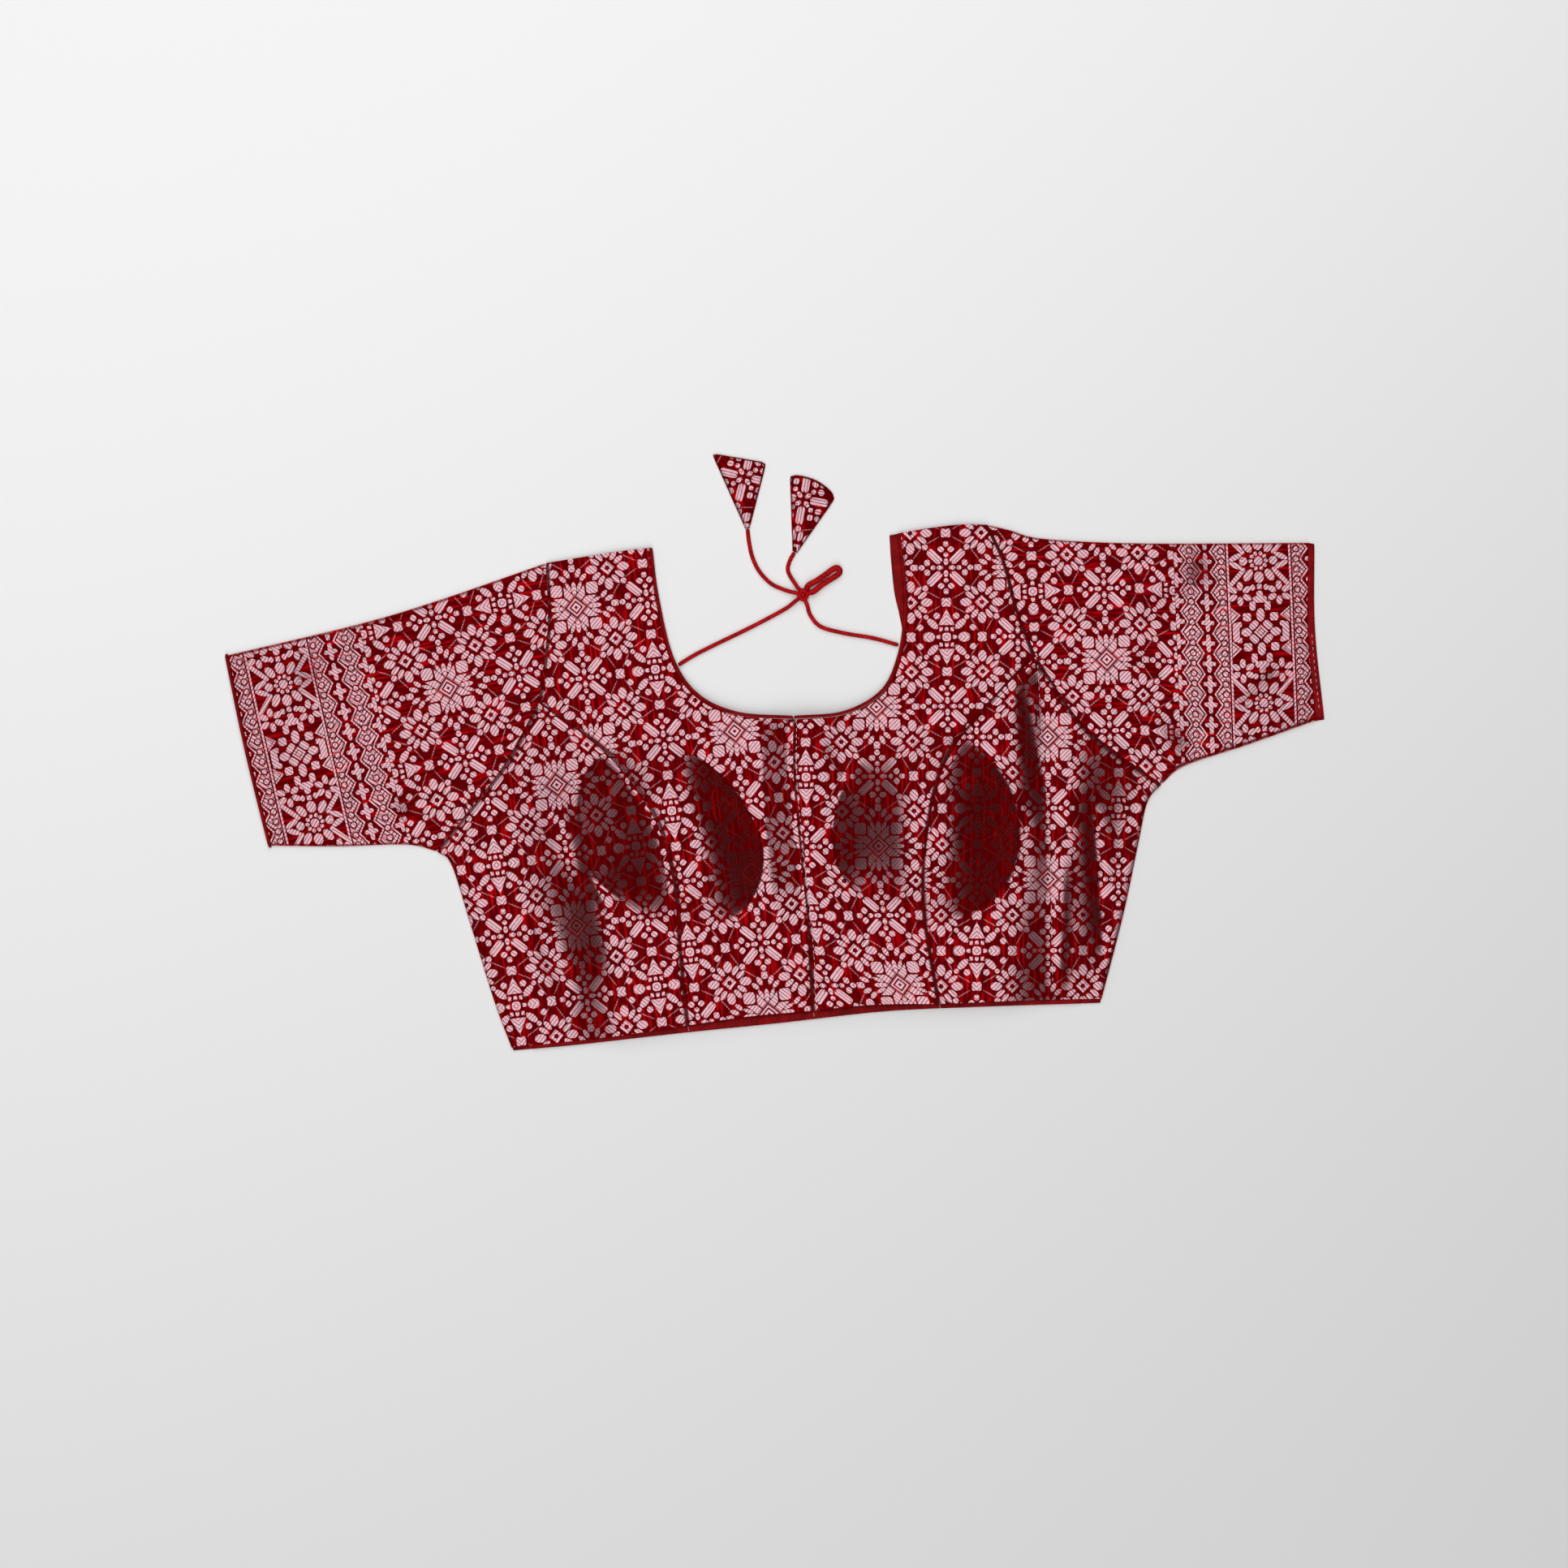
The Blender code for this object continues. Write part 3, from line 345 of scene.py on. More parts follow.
def crease_height(x, y, table):
    """Sum of ridges height * exp(-(distance / width)^2), each faded at both ends of its crest."""
    height = np.zeros_like(x)
    for x1, y1, x2, y2, width, tall in table:
        run_x, run_y = x2 - x1, y2 - y1
        t = ((x - x1) * run_x + (y - y1) * run_y) / (run_x ** 2 + run_y ** 2)
        distance = np.hypot(x - x1 - run_x * t, y - y1 - run_y * t) / width
        fade = smoothstep(*CREASE_FADE_IN, t) * (1.0 - smoothstep(*CREASE_FADE_OUT, t))
        height += tall * fade * np.exp(-distance * distance)
    return height


def placket_height(x, y):
    """A ramp up to the closed centre front from the left, and a soft fall from it to the right."""
    centre = x_at(CENTRE, y)
    fade = smoothstep(*PLACKET_FOOT, y) * (1.0 - smoothstep(*PLACKET_HEAD, y))
    left = np.maximum(0.0, 1.0 - np.abs(x - centre) / PLACKET_WIDTH)
    right = 1.0 - smoothstep(0.0, PLACKET_FALL, x - centre)
    return PLACKET_RISE * fade * np.where(x > centre, right, left)


def front_height(x, y):
    """Top of the front: its rest height plus the arch of the body, the placket, the cups and the folds."""
    from_side = x_at(SIDE_RIGHT, y) - x
    right_fall = (RIGHT_FALL_SHARE * (1.0 - smoothstep(*RIGHT_FALL, x))
                  + (1.0 - RIGHT_FALL_SHARE) * smoothstep(0.0, SIDE_FALL_WIDTH, from_side))
    toward_shoulder = 1.0 - (1.0 - ARCH_AT_SHOULDER) * smoothstep(*SHOULDER_FALL, y)
    toward_hem = ARCH_AT_HEM + (1.0 - ARCH_AT_HEM) * smoothstep(*HEM_FALL, y)
    left_fall = smoothstep(x_at(LEFT_FALL_FROM, y), x_at(LEFT_FALL_TO, y), x)
    body = ARCH * left_fall * right_fall * toward_shoulder * toward_hem
    rise = body + placket_height(x, y) + cup_height(x, y) + crease_height(x, y, FOLDS)
    return FRONT_TOP + np.maximum(0.0, rise)


def sleeve_height(x, y, along_sleeve, across):
    """Level with the front at the armhole, then an arch 4*a*(1-a) between the two folded edges."""
    middle = 4.0 * across * (1.0 - across)
    own = SLEEVE_FOLD_TOP + SLEEVE_RISE * middle + crease_height(x, y, FOLDS)
    at_armhole = front_height(x, y)
    return at_armhole + (own - at_armhole) * smoothstep(*SLEEVE_BLEND, along_sleeve)


# ---------------------------------------------------------------- plans of the panels

def inset(loop, gaps):
    """Each side of a closed clockwise outline moved inward by its own gap; the corners are where they meet."""
    before = loop - np.roll(loop, 1, axis=0)
    after = np.roll(loop, -1, axis=0) - loop
    first = unit(np.stack((before[:, 1], -before[:, 0]), axis=1))
    second = unit(np.stack((after[:, 1], -after[:, 0]), axis=1))
    gap_1, gap_2 = np.roll(gaps, 1)[:, None], np.asarray(gaps)[:, None]
    turn = (first[:, 0] * second[:, 1] - first[:, 1] * second[:, 0])[:, None]
    straight = unit(first + second) * (gap_1 + gap_2) / 2
    safe = np.where(np.abs(turn) < STRAIGHT_CORNER, 1.0, turn)
    corner = np.concatenate((gap_1 * second[:, 1:] - gap_2 * first[:, 1:],
                             gap_2 * first[:, :1] - gap_1 * second[:, :1]), axis=1) / safe
    return loop + np.where(np.abs(turn) < STRAIGHT_CORNER, straight, corner)


def panel_plan(top, right, bottom, left, gaps):
    """A Coons patch: ends blended by v plus sides blended by u less the four corners blended by both.

    top and bottom run left to right, left and right run downward. gaps are what the edges keep from the lines.
    """
    columns, rows = len(top) - 1, len(left) - 1
    loop = np.vstack((top[:-1], right[:-1], bottom[:0:-1], left[:0:-1]))
    ends_top, ends_right, ends_bottom, ends_left = (np.broadcast_to(np.asarray(g, float), (n,))
                                                    for g, n in zip(gaps, (columns, rows, columns, rows)))
    loop = inset(loop, np.concatenate((ends_top, ends_right, ends_bottom, ends_left[::-1])))
    loop = np.vstack((loop, loop[:1]))
    corner = columns + rows
    top, right = loop[:columns + 1], loop[columns:corner + 1]
    bottom, left = loop[corner:corner + columns + 1][::-1], loop[corner + columns:][::-1]
    u = np.linspace(0.0, 1.0, columns + 1)[None, :, None]
    v = np.linspace(0.0, 1.0, rows + 1)[:, None, None]
    sides = left[:, None] * (1 - u) + right[:, None] * u
    ends = top[None] * (1 - v) + bottom[None] * v
    corners = (top[0] * (1 - u) + top[-1] * u) * (1 - v) + (bottom[0] * (1 - u) + bottom[-1] * u) * v
    return sides + ends - corners


def sided_plan(side, top, outer, bottom, inner, outer_gap, inner_gap, top_gap=0.0):
    """A panel of the left or the right side of the blouse, its outer edge away from the centre."""
    if side == "left":
        return panel_plan(top, inner, bottom, outer, (top_gap, inner_gap, 0.0, outer_gap))
    return panel_plan(top, outer, bottom, inner, (top_gap, outer_gap, 0.0, inner_gap))


def from_edges(plan):
    """Distance of each grid point from the top, right, bottom and left edge, along the grid's lines."""
    down = np.linalg.norm(np.diff(plan, axis=0), axis=2)
    across = np.linalg.norm(np.diff(plan, axis=1), axis=2)
    down = np.vstack((np.zeros((1, plan.shape[1])), np.cumsum(down, axis=0)))
    across = np.hstack((np.zeros((plan.shape[0], 1)), np.cumsum(across, axis=1)))
    return down, across[:, -1:] - across, down[-1:] - down, across


def with_edge_lines(grid, columns_too=True):
    """The grid with one more line of places close inside each edge, which keeps an edge's shading narrow."""
    for axis in (0, 1) if columns_too else (0,):
        grid = np.swapaxes(grid, 0, axis)
        first = grid[:1] + (grid[1:2] - grid[:1]) * EDGE_LINE_SHARE
        last = grid[-1:] + (grid[-2:-1] - grid[-1:]) * EDGE_LINE_SHARE
        grid = np.swapaxes(np.concatenate((grid[:1], first, grid[1:-1], last, grid[-1:])), 0, axis)
    return grid


def pattern_place(plan, lay):
    """The repeat's own coordinates in mm: less the star, turned back, lengthened, and the lean taken off."""
    star_x, star_y, turn, share, lean = lay
    x, y = plan[..., 0] - star_x, plan[..., 1] - star_y
    x = x - lean * np.square(np.minimum(0.0, y / share + REPEAT) / REPEAT)
    c, s = math.cos(math.radians(turn)), math.sin(math.radians(turn))
    return np.stack((x * c + y * s, (y * c - x * s) / share), axis=-1)


# ---------------------------------------------------------------- meshes

OTHER_TURN = [0, 3, 2, 1]    # a quad's corners the other way round, from the same first corner
TUBE_SIDES = 12
TUBE_END = np.array((0.12, 0.45, 0.75, 0.93))    # the radius of the rings that round a tube's end, as shares
TUBE_END_GAP = 1.1      # in radii: the path's own places this close to an end are left out
STITCH_SIDES = 6
STITCH_RINGS = np.array((-0.97, -0.6, 0.0, 0.6, 0.97))
STITCH_LIFT = 0.00005


def grid_faces(rows, columns, around=False, closed=False):
    """Quads of a grid of points. around joins its last column to its first, and closed its last row."""
    index = np.arange(rows * columns).reshape(rows, columns)
    if around:
        index = np.hstack((index, index[:, :1]))
    if closed:
        index = np.vstack((index, index[:1]))
    return np.stack((index[:-1, :-1], index[1:, :-1], index[1:, 1:], index[:-1, 1:]), axis=-1).reshape(-1, 4)


def of_faces(mesh, what):
    """The normal or the centre of each face, as the rows of an array."""
    values = np.empty(len(mesh.polygons) * 3)
    mesh.polygons.foreach_get(what, values)
    return values.reshape(-1, 3)


def mesh_piece(name, places, faces, uv, material, facing=None, caps=()):
    """A mesh object at the origin from points in metres, faces and one cloth coordinate for each point.

    The faces are turned over where most look away from facing. caps are flat faces over the ends of a tube.
    """
    mesh = bpy.data.meshes.new(name)
    mesh.from_pydata(places.reshape(-1, 3).tolist(), [], faces.tolist() + [list(cap) for cap in caps])
    if facing is not None and (of_faces(mesh, "normal") @ np.asarray(facing, float)).sum() < 0:
        mesh.flip_normals()
    corners = np.empty(len(mesh.loops), int)
    mesh.loops.foreach_get("vertex_index", corners)
    layer = mesh.uv_layers.new(name="cloth")
    layer.data.foreach_set("uv", uv.reshape(-1, 2)[corners].ravel())
    mesh.shade_smooth()
    mesh.materials.append(material)
    piece = bpy.data.objects.new(name, mesh)
    bpy.context.scene.collection.objects.link(piece)
    return piece


def first_face_up(piece):
    """Turns a closed shell right side out where its first face, which is on top, points down."""
    if piece.data.polygons[0].normal.z < 0:
        piece.data.flip_normals()


def place_piece(piece, slot, *nodes):
    """Lets a piece ride on the blouse and stand for its CAD nodes, which it hides; its slot is not used."""
    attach(piece, BODY)
    if nodes:
        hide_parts(*nodes)
    return piece


def give_wall(piece, thickness, lining):
    """A live Solidify that gives cloth its wall inward, with the lining on the inside."""
    piece.data.materials.append(lining)
    wall = piece.modifiers.new("wall", "SOLIDIFY")
    wall.thickness = thickness
    wall.offset = -1.0
    wall.material_offset = 1
    wall.material_offset_rim = 0


def tube_points(path, radius, sides, reference=(0.0, 0.0, 1.0)):
    """Rings path + radius * (cos a * side + sin a * normal), where side is the path's run cross a reference."""
    run = unit(np.gradient(path, axis=0))
    side = unit(np.cross(run, np.asarray(reference, float)))
    normal = np.cross(side, run)
    angle = np.linspace(0.0, 2 * math.pi, sides, endpoint=False)
    radius = np.broadcast_to(np.asarray(radius, float), (len(path),))[:, None, None]
    ring = np.cos(angle)[None, :, None] * side[:, None] + np.sin(angle)[None, :, None] * normal[:, None]
    return path[:, None] + radius * ring


def closed_tube_points(path, radius, sides, reference):
    """The same rings round a closed path, whose last place is its first."""
    return tube_points(np.vstack((path[-2:-1], path, path[1:2])), radius, sides, reference)[1:-2]


def end_caps(count, sides):
    """The flat faces over the first and the last ring of a tube."""
    return [range(sides), range((count - 1) * sides, count * sides)[::-1]]


def tube_piece(name, path, radius, material, reference=(0.0, 0.0, 1.0), closed=False):
    """A cord or a binding: a tube with rounded ends, or a closed ring, with cloth coordinates in mm."""
    path = np.asarray(path, float)
    length = lengths_along(path) / MM
    if closed:
        rings = closed_tube_points(path, radius, TUBE_SIDES, reference)
        length = length[:-1]
    else:
        # A few more rings at each end draw the tube in as a quarter circle, down to a small flat.
        lead = radius * (1 - np.sqrt(1 - TUBE_END ** 2))
        first = path[:1] + unit(path[1:2] - path[:1]) * lead[:, None]
        last = path[-1:] + unit(path[-2:-1] - path[-1:]) * lead[:, None]
        gap = radius * TUBE_END_GAP / MM
        keep = (length > gap) & (length < length[-1] - gap)
        path = np.vstack((first, path[keep], last[::-1]))
        radii = np.concatenate((radius * TUBE_END, np.full(keep.sum(), radius), radius * TUBE_END[::-1]))
        length = np.concatenate((lead / MM, length[keep], length[-1] - lead[::-1] / MM))
        rings = tube_points(path, radii, TUBE_SIDES, reference)
    size = rings.shape[:2]
    around = np.linspace(0.0, 2 * math.pi * radius / MM, TUBE_SIDES, endpoint=False)
    uv = np.stack((np.broadcast_to(around, size), np.broadcast_to(length[:, None], size)), axis=-1)
    faces = grid_faces(*size, around=True, closed=closed)[:, OTHER_TURN]
    return mesh_piece(name, rings, faces, uv, material, caps=() if closed else end_caps(*size))


def stitch_run(name, line, material, pitch, length, thick):
    """Stitches along a line: each an ellipsoid of the length and thickness, half sunk and a little raised."""
    line = np.asarray(line, float)
    middle = np.arange(pitch / 2, lengths_along(line)[-1], pitch)
    spot = places_at(line, middle)
    run = places_at(line, middle + length / 2) - spot
    whole = np.linalg.norm(run, axis=1) > length / 4
    spot, run = spot[whole], unit(run[whole])
    side = unit(np.cross(run, (0.0, 0.0, 1.0)))
    up = np.cross(side, run)
    angle = np.linspace(0.0, 2 * math.pi, STITCH_SIDES, endpoint=False)
    size = (len(STITCH_RINGS), STITCH_SIDES)
    lengthwise = STITCH_RINGS[:, None] * length / 2
    wide = np.sqrt(1 - STITCH_RINGS ** 2)[:, None] * thick / 2
    shape = np.stack((np.broadcast_to(lengthwise, size), wide * np.cos(angle), wide * np.sin(angle)), axis=-1)
    shape = shape.reshape(1, -1, 3)
    points = (spot[:, None] + shape[..., :1] * run[:, None] + shape[..., 1:2] * side[:, None]
              + (shape[..., 2:] + STITCH_LIFT) * up[:, None])
    sides = grid_faces(*size, around=True)
    ends = np.array(((0, 1, 2, 3), (0, 3, 4, 5), (27, 26, 25, 24), (29, 28, 27, 24)))
    one = np.vstack((sides, ends))
    count = shape.shape[1]
    faces = (one[None] + (np.arange(len(spot)) * count)[:, None, None]).reshape(-1, 4)
    uv = np.broadcast_to(shape[..., :2] / MM, (len(spot), count, 2))
    piece = mesh_piece(name, points, faces, uv, material)
    outward = of_faces(piece.data, "center")[:len(sides)] - points[0].mean(axis=0)
    if (of_faces(piece.data, "normal")[:len(sides)] * outward).sum() < 0:
        piece.data.flip_normals()
    return piece


# ---------------------------------------------------------------- colours and nodes

def linear(colour):
    """Linear red, green and blue of an sRGB hex colour."""
    value = np.array([int(colour[i:i + 2], 16) / 255 for i in (1, 3, 5)])
    return tuple(np.where(value <= 0.04045, value / 12.92, ((value + 0.055) / 1.055) ** 2.4).tolist())


# The kinds of node that are added often.
MATH = "ShaderNodeMath"
VECTOR = "ShaderNodeVectorMath"
COMBINE = "ShaderNodeCombineXYZ"
SEPARATE = "ShaderNodeSeparateXYZ"
MAP_RANGE = "ShaderNodeMapRange"
MIX = "ShaderNodeMix"


def add(tree, kind, inputs=None, **settings):
    """Adds one node with its settings, links or fills its inputs, and returns its first usable output."""
    made = tree.nodes.new(kind)
    for name, value in settings.items():
        setattr(made, name, value)
    for key, value in (inputs or {}).items():
        if isinstance(value, bpy.types.NodeSocket):
            tree.links.new(value, made.inputs[key])
        else:
            made.inputs[key].default_value = value
    return next((socket for socket in made.outputs if not socket.is_unavailable), made)


def through(tree, kind, value, *steps):
    """Sends a value through nodes of one kind in turn: each step is its operation and its other inputs."""
    for operation, *others in steps:
        value = add(tree, kind, dict(enumerate((value, *others))), operation=operation)
    return value


FLATTEN = 1e6             # divides a place's third part away
POLYGON_SOFTNESS = 2.5    # mm over which a polygon's field rises by 1


def united(tree, place, figures, field=None):
    """Draws figures and unites them: the field is below 1 inside any of them.

    Each figure is its kind, x, y, turn in degrees, length and width in mm. A petal is an ellipse, a block a
    rounded rectangle (fourth powers) and a lozenge a diamond (sum of the two distances).
    """
    for kind, x, y, turn, length, width in figures:
        local = add(tree, "ShaderNodeMapping", {
            "Vector": place, "Location": (x, y, 0.0), "Rotation": (0.0, 0.0, math.radians(turn)),
            "Scale": (length / 2, width / 2, FLATTEN)}, vector_type="TEXTURE")
        if kind == "block":
            local = through(tree, VECTOR, local, ("MULTIPLY", local))
        if kind == "lozenge":
            local = through(tree, VECTOR, local, ("ABSOLUTE",))
            one = through(tree, VECTOR, local, ("DOT_PRODUCT", (1.0, 1.0, 0.0)))
        else:
            one = through(tree, VECTOR, local, ("LENGTH",))
        field = one if field is None else through(tree, MATH, field, ("MINIMUM", one))
    return field


def polygon(tree, place, sides):
    """A convex polygon's field: 1 plus the largest distance outside any side, over POLYGON_SOFTNESS.

    Each side is its outward normal and its distance from the origin. The place has 1 as its third part.
    """
    field = None
    for normal_x, normal_y, reach in sides:
        weights = (normal_x / POLYGON_SOFTNESS, normal_y / POLYGON_SOFTNESS, 1.0 - reach / POLYGON_SOFTNESS)
        one = through(tree, VECTOR, place, ("DOT_PRODUCT", weights))
        field = one if field is None else through(tree, MATH, field, ("MAXIMUM", one))
    return field


def sorted_place(tree, x, y):
    """A place folded over its diagonal: the larger of the two distances first, and 1 as its third part."""
    far, near = through(tree, MATH, x, ("MAXIMUM", y)), through(tree, MATH, x, ("MINIMUM", y))
    return add(tree, COMBINE, {0: far, 1: near, 2: 1.0})


def new_group(name, *outputs):
    """An empty node group that takes a place and gives the named fields; returns the group and the place."""
    tree = bpy.data.node_groups.new(name, "ShaderNodeTree")
    tree.interface.new_socket("Place", in_out="INPUT", socket_type="NodeSocketVector")
    for output in outputs:
        tree.interface.new_socket(output, in_out="OUTPUT", socket_type="NodeSocketFloat")
    return tree, add(tree, "NodeGroupInput")


# Figures of the repeat in mm, in the folded eighth of each motif: along its nearer axis, then across it.
LARGE_STAR = (
    ("lozenge", 0.0, 0.0, 0.0, 14.2, 14.2),
    ("petal", 13.3, 0.0, 0.0, 9.6, 3.4),
    ("petal", 14.5, 3.9, 25.0, 7.2, 2.6),
    ("block", 12.7, 12.6, 0.0, 8.6, 7.8),
    ("block", 28.0, 0.0, 0.0, 5.2, 4.4),
    ("petal", 24.2, 4.0, 25.0, 6.6, 3.4),
    ("petal", 20.8, 7.3, 45.0, 6.2, 3.2),
    ("petal", 35.8, 15.0, 0.0, 4.2, 4.2),
    ("petal", 36.2, 36.2, 45.0, 3.4, 3.4),
)
# The star's pointed blade, as the sides of a polygon: its normal and how far out it lies.
STAR_BLADE = ((0.675, -0.737, 4.9), (0.0, 1.0, 7.4), (-0.707, -0.707, -6.2), (-0.707, 0.707, -0.55))
ROUND_FLOWER = (
    ("lozenge", 0.0, 0.0, 0.0, 10.0, 10.0),
    ("petal", 11.4, 0.0, 0.0, 8.2, 6.0),
    ("petal", 8.4, 5.1, 36.0, 7.4, 3.6),
)
CROSS_FLOWER = (
    ("petal", 4.3, 0.0, 0.0, 4.8, 3.2),
    ("petal", 9.3, 0.0, 0.0, 3.4, 3.4),
    ("petal", 17.4, 0.0, 0.0, 4.2, 3.8),
    ("petal", 13.4, 3.6, 90.0, 4.6, 4.2),
)
CROSS_LEAF = (("block", 8.1, 8.2, 45.0, 12.6, 5.8),)
ARROW_FLOWER = (
    ("block", 0.0, 0.0, 0.0, 6.0, 6.0),
    ("block", 5.9, 0.0, 0.0, 3.2, 2.8),
    ("block", 0.0, 5.8, 0.0, 2.6, 3.0),
    ("block", 4.0, 5.6, 0.0, 2.4, 3.0),
    ("petal", 12.6, 0.0, 0.0, 8.4, 7.2),
    ("petal", 9.9, 9.6, 44.0, 9.8, 4.8),
    ("petal", 6.9, 15.4, 0.0, 4.6, 4.6),
    ("petal", 18.8, 6.9, 0.0, 4.6, 4.6),
)
ARROW_HEAD = ((0.0, -1.0, -8.8), (0.90, 0.436, 9.0), (-0.90, 0.436, 9.0))
TICKED_SQUARE = (("block", 0.0, 0.0, 0.0, 7.0, 6.6),)
FINE_LINES = (("petal", 9.2, 5.4, 30.0, 10.5, 0.9),)
FINE_LINES_BY_STAR = (("petal", 30.4, 10.4, 54.0, 11.0, 0.9),)
STAR_RINGS = ((0.0, 1.4), (4.5, 0.6))    # dark diamonds in the large star: where, and half width
FLOWER_HOLE = (("petal", 0.0, 0.0, 0.0, 3.4, 3.4),)
LEAF_VEIN = (0.4, 0.35)    # half width, and how far it takes the leaf's field out
TICKS = (0.62, 0.22)       # squares for each mm, and how far they take the field out


def repeat_group():
    """The body cloth's repeat as a node group: place in mm in, fields of figures and lines and x + y out."""
    tree, place = new_group("brocade_repeat", "Field", "Lines", "Slant")
    half, quarter = REPEAT / 2, REPEAT / 4
    cell = through(tree, VECTOR, place, ("WRAP", (half, half, 1.0), (-half, -half, -1.0)), ("ABSOLUTE",))
    x, y = add(tree, SEPARATE, {0: cell}).node.outputs[:2]
    wedge = sorted_place(tree, x, y)
    far, near = add(tree, SEPARATE, {0: wedge}).node.outputs[:2]

    field = united(tree, wedge, LARGE_STAR)
    field = through(tree, MATH, field, ("MINIMUM", polygon(tree, wedge, STAR_BLADE)))
    diamond = through(tree, MATH, far, ("ADD", near))
    for ring, wide in STAR_RINGS:
        dark = through(tree, MATH, diamond, ("COMPARE", ring, wide))
        field = through(tree, MATH, dark, ("MULTIPLY_ADD", 1.0, field))

    offset = through(tree, VECTOR, cell, ("SUBTRACT", (quarter, quarter, 0.0)), ("ABSOLUTE",))
    flower = sorted_place(tree, *add(tree, SEPARATE, {0: offset}).node.outputs[:2])
    petals = united(tree, flower, ROUND_FLOWER)
    centre = united(tree, flower, FLOWER_HOLE)
    centre = through(tree, MATH, centre, ("LESS_THAN", 1.0))
    petals = through(tree, MATH, petals, ("ADD", centre))
    field = through(tree, MATH, field, ("MINIMUM", petals))

    from_cross = through(tree, MATH, half, ("SUBTRACT", far))
    cross = sorted_place(tree, from_cross, near)
    field = united(tree, cross, CROSS_FLOWER, field)
    leaf = united(tree, cross, CROSS_LEAF)
    vein_x, vein_y = add(tree, SEPARATE, {0: cross}).node.outputs[:2]
    vein = through(tree, MATH, vein_x, ("COMPARE", vein_y, LEAF_VEIN[0]))
    leaf = through(tree, MATH, vein, ("MULTIPLY_ADD", LEAF_VEIN[1], leaf))
    field = through(tree, MATH, field, ("MINIMUM", leaf))

    arrow = through(tree, VECTOR, (half, half, 1.0), ("SUBTRACT", cell))
    field = united(tree, arrow, ARROW_FLOWER, field)
    field = through(tree, MATH, field, ("MINIMUM", polygon(tree, arrow, ARROW_HEAD)))

    beside = through(tree, MATH, near, ("SUBTRACT", quarter), ("ABSOLUTE",))
    square = add(tree, COMBINE, {0: from_cross, 1: beside})
    block = united(tree, square, TICKED_SQUARE)
    ticks = add(tree, "ShaderNodeTexChecker", {
        "Vector": square, "Color1": (1, 1, 1, 1), "Color2": (0, 0, 0, 1), "Scale": TICKS[0]})
    block = through(tree, MATH, ticks, ("MULTIPLY_ADD", TICKS[1], block))
    field = through(tree, MATH, field, ("MINIMUM", block))

    lines = united(tree, square, FINE_LINES)
    lines = united(tree, wedge, FINE_LINES_BY_STAR, lines)
    slant = through(tree, MATH, x, ("ADD", y))
    add(tree, "NodeGroupOutput", {0: field, 1: lines, 2: slant})
    return tree


# The sleeve's woven border in mm: three braids of diamonds and beads, crosses between two of them and a panel
# of stars and flowers. A diamond's half width grows from the waist to its middle; towards the panel a braid is
# straight.
BRAID_CENTRES = (9.5, 63.0, 86.0)
BRAID_STEP = 7.3
BRAID_WAIST = 2.9
BRAID_SLOPE = 0.7
BRAID_IN_PANEL = 4.6
BRAID_OUTLINE = 0.65
BEAD = (("petal", 0.0, 0.0, 0.0, 3.5, 3.5),)
BEAD_GROUND = 2.5        # how far the ground is opened round a bead
# Dark lines inside the figures: the distance that they follow and half their width.
BRAID_INNER_LINE = (-1.25, 0.55)
BRAID_VEE = (0.0, 0.42)
STAR_LINE = (2.7, 0.45)
TENT_LINE = (-2.2, 0.42)
OUT_OF_FIGURE = 1.5      # added to a field to take it out of any figure
CROSS_LINE = 74.5
CROSSES = (
    ("block", 0.0, 0.0, 0.0, 3.2, 12.4),
    ("block", 0.0, 0.0, 0.0, 9.4, 3.2),
)
CUFF_SQUARE_LINE = 1.8
CUFF_SQUARES = (("block", 0.0, 0.0, 0.0, 2.4, 3.0),)
OUTER_LINE = 96.4
OUTER_SPURS = (
    ("block", 0.0, 0.0, 0.0, 2.6, 10.6),
    ("block", 1.8, 0.0, 0.0, 6.4, 3.4),
)
PANEL_CENTRE = 36.5
PANEL_HALF = 26.5
PANEL_STAR = 22.0
# Figures of the panel, as distance from its middle line and from the star's middle, or from the flower's.
BORDER_STAR = (
    ("lozenge", 0.0, 0.0, 0.0, 10.0, 10.0),
    ("block", 5.0, 5.0, 45.0, 4.6, 6.8),
    ("petal", 0.0, 12.2, 90.0, 9.2, 5.8),
    ("petal", 10.4, 0.0, 0.0, 7.4, 6.0),
    ("block", 9.7, 10.7, 0.0, 5.8, 5.8),
    ("block", 0.0, 27.0, 0.0, 4.4, 4.6),
    ("block", 0.0, 23.2, 0.0, 9.8, 4.6),
    ("block", 5.4, 18.6, 0.0, 4.2, 6.4),
    ("block", 17.7, 0.0, 0.0, 4.8, 13.6),
    ("block", 15.4, 5.6, 0.0, 3.6, 3.8),
)
SIX_PETALS_AT = (13.9, 27.6, 0.0)
SIX_PETALS = (
    ("petal", 0.0, 5.4, 90.0, 6.4, 4.2),
    ("petal", 5.0, 2.8, 30.0, 6.4, 4.2),
)
LATTICE_BAR = (("block", 15.6, 39.2, -48.0, 17.0, 3.2),)
BORDER_FLOWER = (
    ("petal", 0.0, 0.0, 0.0, 6.2, 6.2),
    ("petal", 5.5, 0.0, 0.0, 3.0, 2.6),
    ("petal", 4.5, 3.2, 35.0, 3.0, 2.6),
    ("petal", 1.9, 5.2, 70.0, 3.0, 2.6),
    ("petal", 10.7, 0.0, 0.0, 5.8, 6.0),
    ("petal", 16.2, 3.0, -26.0, 10.4, 3.8),
    ("petal", 7.6, 10.2, 57.0, 9.4, 5.4),
    ("petal", 0.0, 11.8, 90.0, 8.2, 6.8),
    ("block", 0.0, 18.4, 0.0, 3.4, 3.6),
    ("petal", 4.8, 19.0, 90.0, 4.2, 3.4),
)
TENT_PLACE = 12.0       # the braid's tents stand this far from the star's middle
